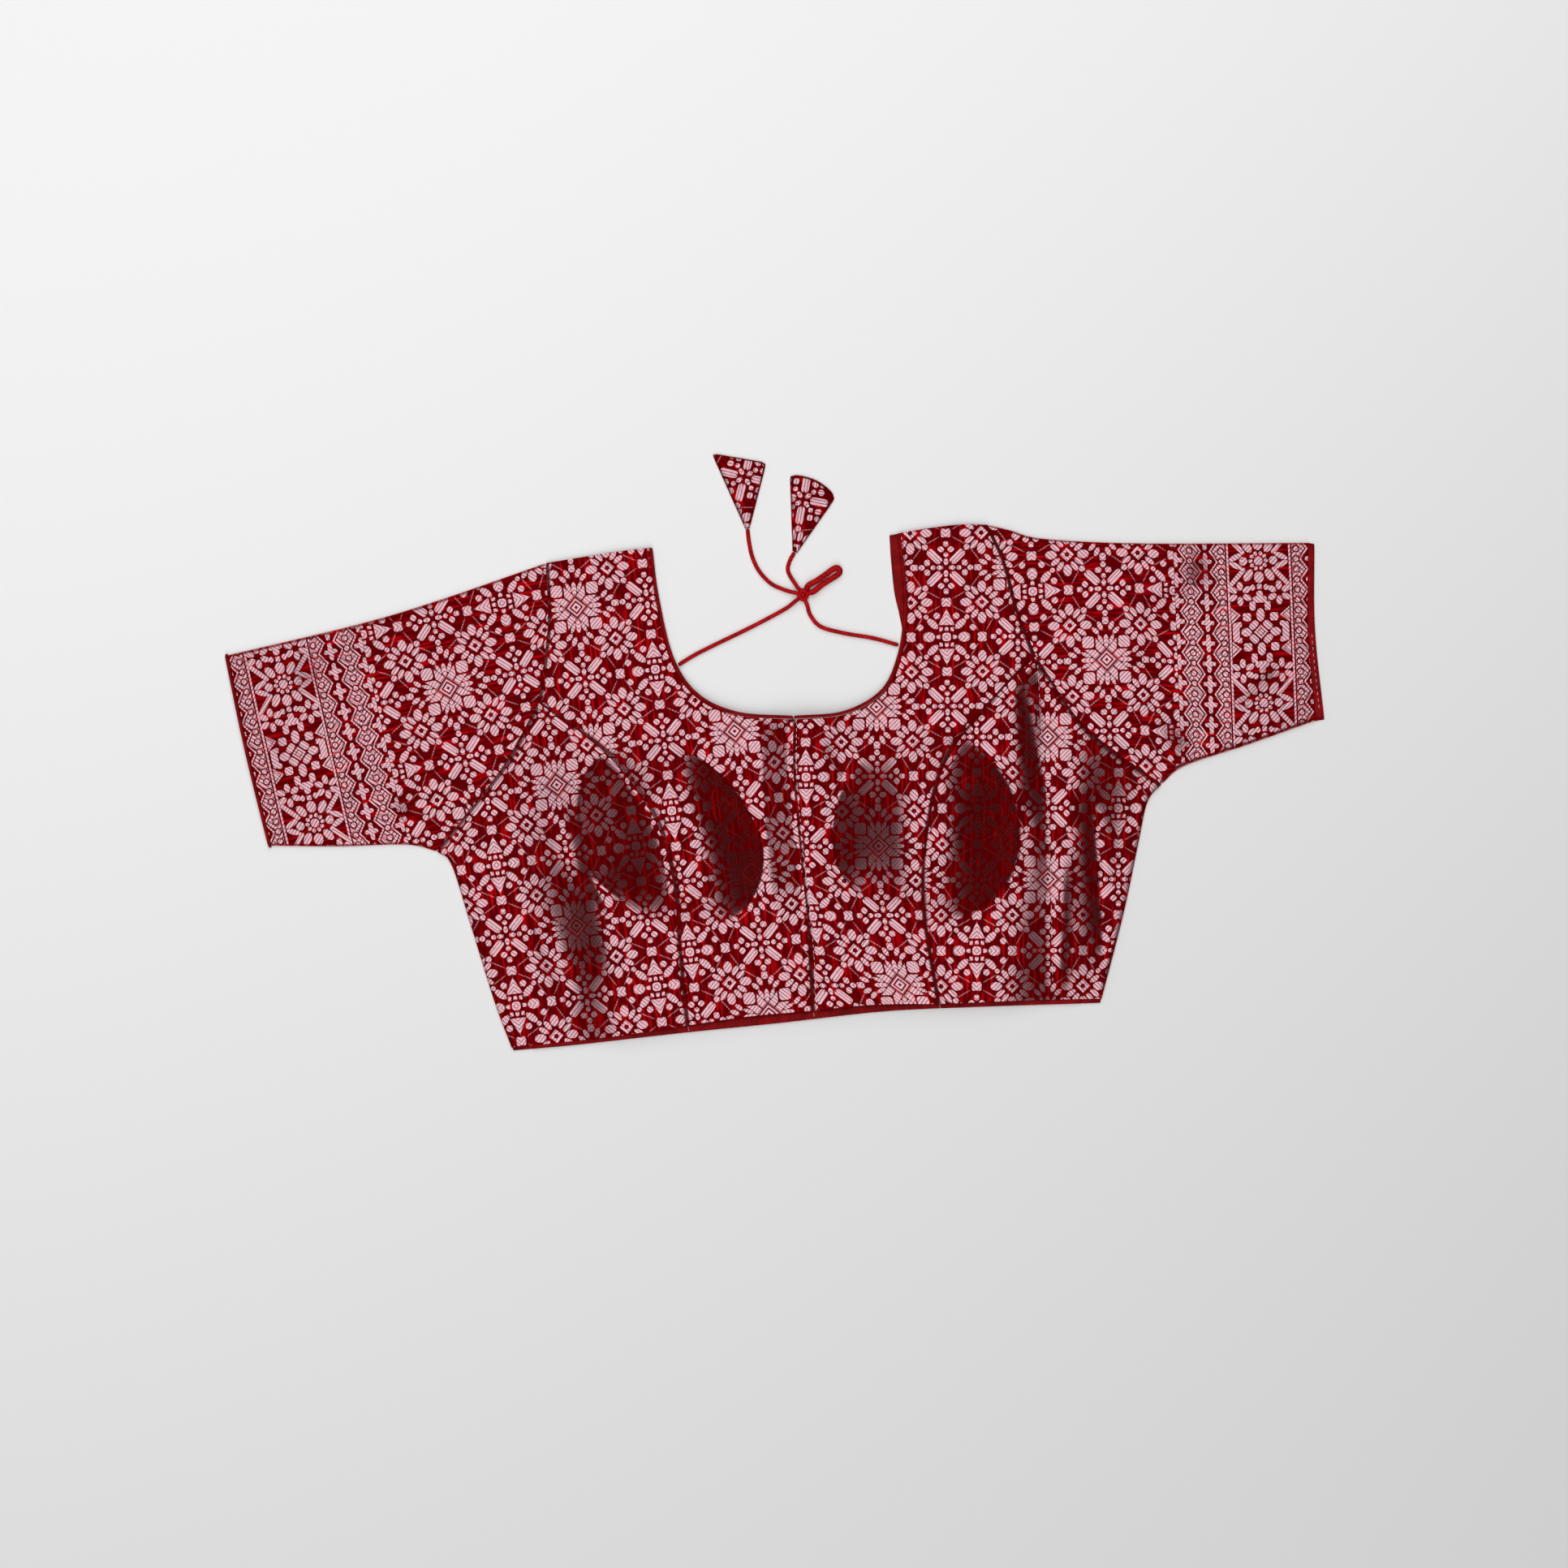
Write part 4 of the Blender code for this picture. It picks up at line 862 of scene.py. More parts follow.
TENT_TIP = 13.9
TENT_SLOPE = 1.2
TENT_FOOT = 20.8


def dark_line(tree, field, distance, middle, half):
    """Opens the ground in a field where a distance lies within half of the given middle."""
    field = through(tree, MATH, field, ("MAXIMUM", 0.0))
    line = through(tree, MATH, distance, ("COMPARE", middle, half))
    return through(tree, MATH, line, ("MULTIPLY_ADD", OUT_OF_FIGURE, field))


def border_group():
    """The sleeve's woven border as a node group: distance from the cuff and place along it in mm, field out."""
    tree, place = new_group("cuff_border", "Field")
    s, t = add(tree, SEPARATE, {0: place}).node.outputs[:2]

    nearest = None
    for centre in BRAID_CENTRES:
        away = through(tree, MATH, s, ("SUBTRACT", centre), ("ABSOLUTE",))
        if nearest is not None:
            away = through(tree, MATH, nearest, ("MINIMUM", away))
        nearest = away
    across = through(tree, MATH, s, ("SUBTRACT", PANEL_CENTRE), ("ABSOLUTE",))
    reach = through(tree, MATH, t, ("PINGPONG", BRAID_STEP), ("MULTIPLY_ADD", BRAID_SLOPE, BRAID_WAIST))
    in_panel = through(tree, MATH, across, ("LESS_THAN", PANEL_HALF))
    reach = add(tree, MIX, {0: in_panel, 2: reach, 3: BRAID_IN_PANEL}, data_type="FLOAT")
    rim = through(tree, MATH, nearest, ("SUBTRACT", reach))
    field = through(tree, MATH, rim, ("ADD", 1.0 - BRAID_OUTLINE))
    field = dark_line(tree, field, rim, *BRAID_INNER_LINE)
    vee = through(tree, MATH, t, ("ADD", nearest), ("WRAP", BRAID_STEP / 4, -BRAID_STEP / 4))
    field = dark_line(tree, field, vee, *BRAID_VEE)
    rim_only = through(tree, MATH, rim, ("ABSOLUTE",), ("ADD", 1.0 - BRAID_OUTLINE))
    field = through(tree, MATH, field, ("MINIMUM", rim_only))
    step = through(tree, MATH, t, ("WRAP", BRAID_STEP / 2, -BRAID_STEP / 2))
    bead = united(tree, add(tree, COMBINE, {0: nearest, 1: step}), BEAD)
    round_bead = through(tree, MATH, BEAD_GROUND, ("SUBTRACT", bead))
    field = through(tree, MATH, field, ("MAXIMUM", round_bead), ("MINIMUM", bead))

    long_step = through(tree, MATH, t, ("WRAP", BRAID_STEP, -BRAID_STEP))
    for line, figures in ((CROSS_LINE, CROSSES), (CUFF_SQUARE_LINE, CUFF_SQUARES), (OUTER_LINE, OUTER_SPURS)):
        away = through(tree, MATH, line, ("SUBTRACT", s))
        spot = add(tree, COMBINE, {0: away, 1: long_step})
        field = united(tree, spot, figures, field)

    half = REPEAT / 2
    along_panel = through(tree, MATH, t, ("SUBTRACT", PANEL_STAR), ("WRAP", half, -half), ("ABSOLUTE",))
    panel = add(tree, COMBINE, {0: across, 1: along_panel})
    field = united(tree, panel, BORDER_STAR + LATTICE_BAR, field)
    diamond = through(tree, MATH, across, ("ADD", along_panel))
    field = dark_line(tree, field, diamond, *STAR_LINE)
    petals = through(tree, VECTOR, panel, ("SUBTRACT", SIX_PETALS_AT), ("ABSOLUTE",))
    field = united(tree, petals, SIX_PETALS, field)
    flower = through(tree, MATH, half, ("SUBTRACT", along_panel))
    flower = add(tree, COMBINE, {0: across, 1: flower})
    field = united(tree, flower, BORDER_FLOWER, field)

    tent = through(tree, MATH, along_panel, ("SUBTRACT", TENT_PLACE), ("ABSOLUTE",),
                   ("MULTIPLY_ADD", TENT_SLOPE, TENT_TIP), ("SUBTRACT", across))
    tent_field = through(tree, MATH, tent, ("ADD", 1.0))
    tent_field = dark_line(tree, tent_field, tent, *TENT_LINE)
    foot = through(tree, MATH, across, ("SUBTRACT", TENT_FOOT), ("ADD", 1.0))
    tent_field = through(tree, MATH, tent_field, ("MAXIMUM", foot))
    field = through(tree, MATH, field, ("MINIMUM", tent_field))
    add(tree, "NodeGroupOutput", {0: field})
    return tree


def new_material(name):
    """A material without nodes as yet; returns the material and its node tree."""
    material = bpy.data.materials.new(name)
    material.use_nodes = True
    material.node_tree.nodes.clear()
    return material, material.node_tree


# The brocade's threads. HATCH is radians of the slanting hatch for each mm along x + y, and a pair is the
# values between which a cover or a tone goes from one end to the other.
HATCH = 2.1
HATCH_GAP = (0.5, 0.95)         # sine of the hatch at which a gap starts, and is full
HATCH_COVER = 0.12              # silver left in a gap
FIGURE_EDGE = (0.9, 1.08)       # field at which a figure's silver ends
HAIRLINE_EDGE = (0.8, 1.2)
HAIRLINE_COVER = 0.35
UNEVEN_SCALE = 0.35             # uneven tone of the silver, for each mm
UNEVEN = (0.3, 0.7)
UNEVEN_TONE = (0.86, 1.06)
# The satin's streaks are painted highlights: a brighter red where the satin would catch the light along the
# warp.
STREAK_STRETCH = (0.55, 0.05, 1.0)    # streaks of the satin for each mm across and along the warp
STREAK = (0.5, 0.72)
FULL_SILVER = 0.4               # cover from which the thread looks all metal
SATIN_METAL = 0.4               # how metallic the bare satin looks, and the roughness of satin and silver
SATIN_ROUGH = 0.4
SILVER_ROUGH = 0.26
THREAD_BUMP = (0.3, 0.00005)    # strength and height in metres


def brocade_material(name, colours, with_border):
    """Woven zari brocade: red satin ground with silver-wrapped weft floats.

    The silver floats lie across the cloth and shine like dull metal, so a slope that faces aside goes dark. The
    satin between them is a deep red with brighter streaks along the warp, which are painted highlights of the
    satin.
    Threads are 0.4 mm apart in the real cloth; the hatch is drawn 2.1 mm apart so that it shows.
    """
    material, tree = new_material(name)
    place = add(tree, "ShaderNodeUVMap", uv_map="cloth")
    x, y = add(tree, SEPARATE, {0: place}).node.outputs[:2]
    body_place = place
    if with_border:
        from_star = through(tree, MATH, x, ("SUBTRACT", SLEEVE_STAR))
        body_place = add(tree, COMBINE, {0: y, 1: from_star})
    group = bpy.data.node_groups.get("brocade_repeat") or repeat_group()
    repeat = add(tree, "ShaderNodeGroup", {0: body_place}, node_tree=group)
    field, lines, slant = repeat.node.outputs
    if with_border:
        group = bpy.data.node_groups.get("cuff_border") or border_group()
        border = add(tree, "ShaderNodeGroup", {0: place}, node_tree=group)
        inside = through(tree, MATH, x, ("LESS_THAN", BORDER_WIDTH))
        field = add(tree, MIX, {0: inside, 2: field, 3: border}, data_type="FLOAT")
        lines = through(tree, MATH, lines, ("ADD", inside))
    silver = add(tree, MAP_RANGE, {
        "Value": field, "From Min": FIGURE_EDGE[0], "From Max": FIGURE_EDGE[1], "To Min": 1.0, "To Max": 0.0},
        interpolation_type="SMOOTHSTEP")
    hairline = add(tree, MAP_RANGE, {
        "Value": lines, "From Min": HAIRLINE_EDGE[0], "From Max": HAIRLINE_EDGE[1], "To Min": HAIRLINE_COVER,
        "To Max": 0.0}, interpolation_type="SMOOTHSTEP")
    silver = through(tree, MATH, silver, ("MAXIMUM", hairline))

    hatch = through(tree, MATH, slant, ("MULTIPLY", HATCH), ("SINE",))
    hatch = add(tree, MAP_RANGE, {
        "Value": hatch, "From Min": HATCH_GAP[0], "From Max": HATCH_GAP[1], "To Min": 1.0,
        "To Max": HATCH_COVER})
    silver = through(tree, MATH, silver, ("MULTIPLY", hatch))
    uneven = add(tree, "ShaderNodeTexNoise", {"Vector": body_place, "Scale": UNEVEN_SCALE, "Detail": 2.0})
    tone = add(tree, MAP_RANGE, {
        "Value": uneven, "From Min": UNEVEN[0], "From Max": UNEVEN[1], "To Min": UNEVEN_TONE[0],
        "To Max": UNEVEN_TONE[1]})
    silver_colour = add(tree, VECTOR, {0: tuple(colours.silver_thread), "Scale": tone}, operation="SCALE")

    # Painted satin highlights: noise stretched along the warp mixes in a brighter red.
    streak_place = through(tree, VECTOR, body_place, ("MULTIPLY", STREAK_STRETCH))
    streak = add(tree, "ShaderNodeTexNoise", {"Vector": streak_place, "Scale": 1.0, "Detail": 3.0})
    streak = add(tree, MAP_RANGE, {"Value": streak, "From Min": STREAK[0], "From Max": STREAK[1]})
    satin = add(tree, MIX, {
        0: streak, 6: (*colours.satin_ground, 1.0), 7: (*colours.satin_highlight_streak, 1.0)}, data_type="RGBA")
    colour = add(tree, MIX, {0: silver, 6: satin, 7: silver_colour}, data_type="RGBA")
    metal = add(tree, MAP_RANGE, {"Value": silver, "From Max": FULL_SILVER, "To Min": SATIN_METAL})
    rough = add(tree, MAP_RANGE, {
        "Value": silver, "From Max": FULL_SILVER, "To Min": SATIN_ROUGH, "To Max": SILVER_ROUGH})
    along_weft = add(tree, "ShaderNodeTangent", direction_type="UV_MAP", uv_map="cloth")
    bump = add(tree, "ShaderNodeBump", {
        "Height": hatch, "Strength": THREAD_BUMP[0], "Distance": THREAD_BUMP[1]})
    # Floats of thread stretch a highlight across themselves, and the warp ends over them glow red.
    shader = add(tree, "ShaderNodeBsdfPrincipled", {
        "Base Color": colour, "Metallic": metal, "Roughness": rough, "Normal": bump, "Specular IOR Level": 0.0,
        "Tangent": along_weft, "Anisotropic": 0.85, "Anisotropic Rotation": 0.25, "Sheen Weight": 1.0,
        "Sheen Roughness": 0.62, "Sheen Tint": (*colours.warp_sheen, 1.0)})
    add(tree, "ShaderNodeOutputMaterial", {"Surface": shader})
    return material


# Plain red cloth: slope, tone and bump of its twill, size and range of its worn patches, and its two tones.
TWILL_SLOPE = 1.2
TWILL_TONE = 0.1
TWILL_BUMP = (0.35, 0.00012)    # strength and height in metres
WORN_SCALE = 0.12               # worn patches for each mm
WORN = (0.3, 0.7)
TRIM_FINISH = (2.4, 0.55)       # twill in radians for each mm, and roughness
LINING_FINISH = (3.0, 0.85)
CORD_FINISH = (1.6, 0.4)
DARK_SHARE = 0.55               # the dark and the light tone, as shares of the colour
LIGHT_SHARE = 1.35
LIGHT_LIFT = 0.002


def red_material(name, colour, twill, rough):
    """Plain dyed red cloth: a fine twill across it and unevenly worn dye give the eye its soft, matt red."""
    material, tree = new_material(name)
    place = add(tree, "ShaderNodeUVMap", uv_map="cloth")
    slant = through(tree, VECTOR, place, ("DOT_PRODUCT", (twill, twill * TWILL_SLOPE, 0.0)))
    slant = through(tree, MATH, slant, ("SINE",))
    worn = add(tree, "ShaderNodeTexNoise", {"Vector": place, "Scale": WORN_SCALE, "Detail": 3.0})
    shade = through(tree, MATH, slant, ("MULTIPLY_ADD", TWILL_TONE, worn))
    dark = tuple(DARK_SHARE * c for c in colour)
    light = tuple(min(1.0, LIGHT_SHARE * c + LIGHT_LIFT) for c in colour)
    tint = add(tree, MAP_RANGE, {"Value": shade, "From Min": WORN[0], "From Max": WORN[1]})
    base = add(tree, MIX, {0: tint, 6: (*dark, 1.0), 7: (*light, 1.0)}, data_type="RGBA")
    bump = add(tree, "ShaderNodeBump", {"Height": slant, "Strength": TWILL_BUMP[0], "Distance": TWILL_BUMP[1]})
    shader = add(tree, "ShaderNodeBsdfPrincipled", {
        "Base Color": base, "Roughness": rough, "Specular IOR Level": 0.05, "Normal": bump})
    add(tree, "ShaderNodeOutputMaterial", {"Surface": shader})
    return material


def shared(name, maker, *values):
    """A material by name, made the first time that it is asked for."""
    return bpy.data.materials.get(name) or maker(name, *values)


def brocade(context, name):
    """The brocade of one slot."""
    return shared("zari_brocade_" + name, brocade_material, context.scene.blouse_colours, name == "sleeve")


def trim_red(context):
    """Bias-cut red cotton satin of the bindings and facings."""
    return shared("bias_cotton_satin_red", red_material, tuple(context.scene.blouse_colours.trim), *TRIM_FINISH)


def lining_red(context):
    """Plain woven red cotton on the inside."""
    colour = tuple(context.scene.blouse_colours.lining)
    return shared("plain_cotton_lining_red", red_material, colour, *LINING_FINISH)


def cord_red(context):
    """Rolled red satin of the neck cords."""
    return shared("rolled_satin_cord_red", red_material, tuple(context.scene.blouse_colours.cord), *CORD_FINISH)


THREAD_TWIST = (7.0, 5.0, 0.0)    # radians for each mm across and along a stitch
THREAD_DARK_SHARE = 0.7


def thread_material(name, colour):
    """Spun polyester sewing thread: pale, slightly glossy, with its twist drawn across."""
    material, tree = new_material(name)
    place = add(tree, "ShaderNodeUVMap", uv_map="cloth")
    twist = through(tree, VECTOR, place, ("DOT_PRODUCT", THREAD_TWIST))
    twist = through(tree, MATH, twist, ("SINE",))
    tint = add(tree, MAP_RANGE, {"Value": twist, "From Min": -1.0})
    dark = tuple(THREAD_DARK_SHARE * c for c in colour)
    base = add(tree, MIX, {0: tint, 6: (*dark, 1.0), 7: (*colour, 1.0)}, data_type="RGBA")
    shader = add(tree, "ShaderNodeBsdfPrincipled", {"Base Color": base, "Roughness": 0.5})
    add(tree, "ShaderNodeOutputMaterial", {"Surface": shader})
    return material


def pale_thread(context):
    """Pale sewing thread of the stitches and tacks."""
    colour = tuple(context.scene.blouse_colours.pale_thread)
    return shared("spun_polyester_thread_pale", thread_material, colour)


# ---------------------------------------------------------------- settings

RGB = {"subtype": "COLOR", "size": 3}


class BlouseColours(bpy.types.PropertyGroup):
    """Colours of the cloth and thread."""
    silver_thread: FloatVectorProperty(name="Silver thread", description="Silver-wrapped weft of the motifs",
                                       default=linear("#9b7e85"), **RGB)
    satin_ground: FloatVectorProperty(name="Satin ground", description="Deep red between the motifs",
                                      default=linear("#420104"), **RGB)
    # Painted highlight: the satin's brighter streaks stand in for light caught along the warp.
    satin_highlight_streak: FloatVectorProperty(name="Satin streak", description="Brighter red along the warp",
                                      default=linear("#9e0409"), **RGB)
    warp_sheen: FloatVectorProperty(name="Warp sheen", description="Red glow of the warp ends over the cloth",
                                    default=linear("#e8060c"), **RGB)
    trim: FloatVectorProperty(name="Trim", description="Bindings and facings", default=linear("#7e0308"), **RGB)
    lining: FloatVectorProperty(name="Lining", description="Inside of the cloth",
                                default=linear("#7c0a12"), **RGB)
    cord: FloatVectorProperty(name="Cord", description="Neck cords", default=linear("#a8060c"), **RGB)
    pale_thread: FloatVectorProperty(name="Pale thread", description="Stitches that show pale",
                                     default=linear("#dcccd2"), **RGB)


class BlouseSizes(bpy.types.PropertyGroup):
    """Sizes of the cloth, trim and stitches."""
    wall: FloatProperty(name="Cloth", description="Thickness of the brocade with its lining", unit="LENGTH",
                        default=WALL * MM)
    binding: FloatProperty(name="Binding radius", description="Radius of the rolled neck and cuff binding",
                           unit="LENGTH", default=BINDING_RADIUS * MM)
    facing: FloatProperty(name="Facing", description="Thickness of a folded red strip", unit="LENGTH",
                          default=0.0009)
    cord: FloatProperty(name="Cord radius", description="Radius of the rolled neck cord", unit="LENGTH",
                        default=0.00145)
    seam_dip: FloatProperty(name="Seam dip", description="How deep the cloth dips at a seam", unit="LENGTH",
                            default=0.0006)
    stitch: FloatProperty(name="Stitch length", description="Length of one stitch that shows", unit="LENGTH",
                          default=0.0026)


class BlouseStage(bpy.types.PropertyGroup):
    """Camera, floor and light."""
    camera_height: FloatProperty(name="Camera height", description="Above the surface", unit="LENGTH",
                                 default=2.646)
    lens: FloatProperty(name="Lens", description="Focal length in millimetres", unit="CAMERA", default=85.0)
    floor_size: FloatProperty(name="Floor size", description="Side of the square floor", unit="LENGTH",
                              default=14.0)
    key_power: FloatProperty(name="Key power", description="Power of the long soft light overhead",
                             unit="POWER", default=280.0)
    fill_power: FloatProperty(name="Fill power", description="Power of the soft light from the left",
                              unit="POWER", default=11.0)
    sky: FloatProperty(name="Sky strength", description="Even light from all round", default=0.012)


# ---------------------------------------------------------------- pieces

FULLNESS = 1.03          # area of a front panel as a share of its plan's, for the cup's swell
FLAT_SHARE = 1.02        # sides of a panel's flat size as a share of its outline's
LEAST_AREA_SHARE = 0.3   # a panel takes at least this share of its flat size


def seam_dip(distances, depth, width):
    """How far cloth dips beside its sewn edges: depth * exp(-(distance / width)^2) at the nearest one."""
    nearest = np.minimum.reduce(distances)
    return depth * np.exp(-np.square(nearest / width))


def edge_roll(distance, depth, reach):
    """How far cloth rolls down at an open or folded edge: depth * (1 - distance / reach)^2 within its reach."""
    return depth * np.square(np.clip(1.0 - distance / reach, 0.0, 1.0))


def front_surface(plan, sewn, free, sizes):
    """Top of a front panel: the solids' height with creases, a dip at sewn edges and a roll at free ones."""
    x, y = plan[..., 0], plan[..., 1]
    edges = dict(zip(("top", "right", "bottom", "left"), from_edges(plan)))
    z = front_height(x, y)
    nearest = np.minimum.reduce([edges[e] for e in sewn + free])
    z = z + crease_height(x, y, CREASES) * smoothstep(0.0, FRONT_CREASE_MARGIN, nearest)
    z = z - seam_dip([edges[e] for e in sewn], sizes.seam_dip / MM, SEAM_DIP_WIDTH)
    if free:
        z = z - edge_roll(np.minimum.reduce([edges[e] for e in free]), *FREE_EDGE_ROLL)
    return np.concatenate((plan, z[..., None]), axis=-1)


def front_plans():
    """Plans of the front panels and the neck edges, by the solids' own rules with FINE times the segments."""
    plans = {}
    piping = 2 * BINDING_RADIUS + SEAM
    half = CLOTH_SEAM / 2
    rows = (ARMHOLE_UPPER_STEPS + PRINCESS_STEPS) * FINE
    sides = {
        "left": (ARMHOLE_LEFT_UPPER, ARMHOLE_LEFT_LOWER, PRINCESS_LEFT, NECK_LEFT, SIDE_LEFT, SHOULDER_LEFT,
                 HEM_LEFT_CENTRE, HEM_LEFT_SIDE, NECK_LEFT_STEPS * FINE),
        "right": (ARMHOLE_RIGHT_UPPER, ARMHOLE_RIGHT_LOWER, PRINCESS_RIGHT, NECK_RIGHT, SIDE_RIGHT,
                  SHOULDER_RIGHT, HEM_RIGHT_CENTRE, HEM_RIGHT_SIDE, NECK_RIGHT_STEPS * FINE),
    }
    for side, lines in sides.items():
        upper, lower, princess, neck, side_seam, shoulder, hem_centre, hem_side, neck_steps = lines
        seam = along(princess, PRINCESS_STEPS * FINE)
        outer = np.vstack((along(upper, ARMHOLE_UPPER_STEPS * FINE)[:-1], seam))
        inner = np.vstack((along(neck, neck_steps)[:-1], along(CENTRE, rows - neck_steps)))
        inner_gaps = np.where(np.arange(rows) < neck_steps, piping, half)
        top, bottom = along(shoulder, CENTRE_COLUMNS * FINE), along(hem_centre, CENTRE_COLUMNS * FINE)
        plan = sided_plan(side, top, outer, bottom, inner, half, inner_gaps)
        plans["front_centre_" + side] = plan
        plans["neck_" + side] = plan[:neck_steps + 1, -1 if side == "left" else 0]
        top, bottom = along(lower, ARMHOLE_LOWER_STEPS * FINE), along(hem_side, ARMHOLE_LOWER_STEPS * FINE)
        side_line = along(side_seam, PRINCESS_STEPS * FINE)
        if side == "left":
            top = top[::-1]
        plans["front_side_" + side] = sided_plan(side, top, side_line, bottom, seam, 0.0, half, half)
    return plans


def flat_area(plan):
    """Area of a plan in square metres, from its quads' diagonals."""
    a = plan[1:, 1:] - plan[:-1, :-1]
    b = plan[1:, :-1] - plan[:-1, 1:]
    return float(np.abs(a[..., 0] * b[..., 1] - a[..., 1] * b[..., 0]).sum() / 2 * MM * MM)


def declare_panel(area, size):
    """Works out a panel's flat size in metres from the size given in mm and bounds its area by it; nothing is
    kept.
    """
    flat = (size[0] * MM, size[1] * MM)
    area = min(max(area, LEAST_AREA_SHARE * flat[0] * flat[1]), flat[0] * flat[1])


CAMERA_PLACE = (0.00675, 0.00246)
SENSOR_WIDTH = 36.0
# Backdrop paper with painted light: its lit and its shaded tone, how fast it goes from one to the other for
# each metre, and where it ends.
PAPER_PAINTED_LIGHT_TONES = ("#fafafa", "#d9d9d9")
PAPER_SLOPE = (0.35, -0.75, 0.0)
PAPER_REACH = 0.7
# Soft lights: place and size in metres, and turn in radians.
KEY_LIGHT = ((-0.1, 0.0, 3.2), (0.0, 0.0, 0.0), (2.4, 14.0))
LEFT_LIGHT = ((-2.6, 0.9, 1.7), (0.0, -1.0, -0.3), (2.2, 4.0))


class BLOUSE_OT_stage(bpy.types.Operator):
    """Makes the camera straight above, the pale floor and the soft studio light"""
    bl_idname = "blouse.stage"
    bl_label = "Stage"

    def execute(self, context):
        settings = context.scene.blouse_stage
        camera = bpy.data.objects.new("camera", bpy.data.cameras.new("camera"))
        camera.data.lens = settings.lens
        camera.data.sensor_width = SENSOR_WIDTH
        camera.location = (*CAMERA_PLACE, settings.camera_height)
        context.scene.collection.objects.link(camera)
        context.scene.camera = camera

        half = settings.floor_size / 2
        places = np.array(((-half, -half, 0.0), (half, -half, 0.0), (half, half, 0.0), (-half, half, 0.0)))
        floor = mesh_piece("floor", places, np.array(((0, 1, 2, 3),)), places[:, :2], self.paper())

        for name, power, (place, turn, size) in (("key_light", settings.key_power, KEY_LIGHT),
                                                 ("left_light", settings.fill_power, LEFT_LIGHT)):
            light = bpy.data.lights.new(name, "AREA")
            light.shape = "RECTANGLE"
            light.size, light.size_y = size
            light.energy = power
            lamp = bpy.data.objects.new(name, light)
            lamp.location = place
            lamp.rotation_euler = turn
            context.scene.collection.objects.link(lamp)
        world = bpy.data.worlds.new("studio")
        world.use_nodes = True
        sky = world.node_tree.nodes["Background"]
        sky.inputs["Color"].default_value = (1.0, 1.0, 1.0, 1.0)
        sky.inputs["Strength"].default_value = settings.sky
        context.scene.world = world
        context.scene.view_settings.view_transform = "Standard"
        return {"FINISHED"}

    def paper(self):
        """Matt backdrop paper with painted light and shade: no shine, and a painted gradient, palest at the
        upper left.
        """
        material, tree = new_material("matt_backdrop_paper_painted_light")
        place = add(tree, "ShaderNodeUVMap", uv_map="cloth")
        # Painted light and shade: the paper's colour is palest at the upper left and darker toward the lower
        # right, as the lamps' fall-off.
        slope = through(tree, VECTOR, place, ("DOT_PRODUCT", PAPER_SLOPE))
        shade = add(tree, MAP_RANGE, {"Value": slope, "From Min": -PAPER_REACH, "From Max": PAPER_REACH},
                    interpolation_type="SMOOTHSTEP")
        pale, dark = ((*linear(tone), 1.0) for tone in PAPER_PAINTED_LIGHT_TONES)
        tint = add(tree, MIX, {0: shade, 6: pale, 7: dark}, data_type="RGBA")
        shader = add(tree, "ShaderNodeBsdfPrincipled", {
            "Base Color": tint, "Roughness": 0.9, "Specular IOR Level": 0.2})
        add(tree, "ShaderNodeOutputMaterial", {"Surface": shader})
        return material


def knot_entry(name):
    """The straight run of a cord into the knot, as in the solids: a place further out, and where it ends."""
    turn = math.radians(KNOT_ENTRIES[name])
    radii = np.array(KNOT_SIZE[:2]) / 2
    direction = np.array((math.cos(turn), math.sin(turn)))
    outward = unit(direction / radii)
    end = np.array(KNOT_CENTRE) + np.append(radii * direction + outward * KNOT_GAP, 0.0)
    lead = end + np.append(outward * KNOT_LEAD, -KNOT_LEAD_DROP)
    return np.vstack((lead, end))


CORD_STEPS = 6           # places on a cord's path for each point of its route
KNOT_STEPS = 40          # rings along a band of the knot, and places on each
KNOT_SIDES = 10
TIE_END_STEPS = 24
TIE_END_ALLOWANCE = (6.0, 1.0)    # what a tie end's flat size has over its two sides


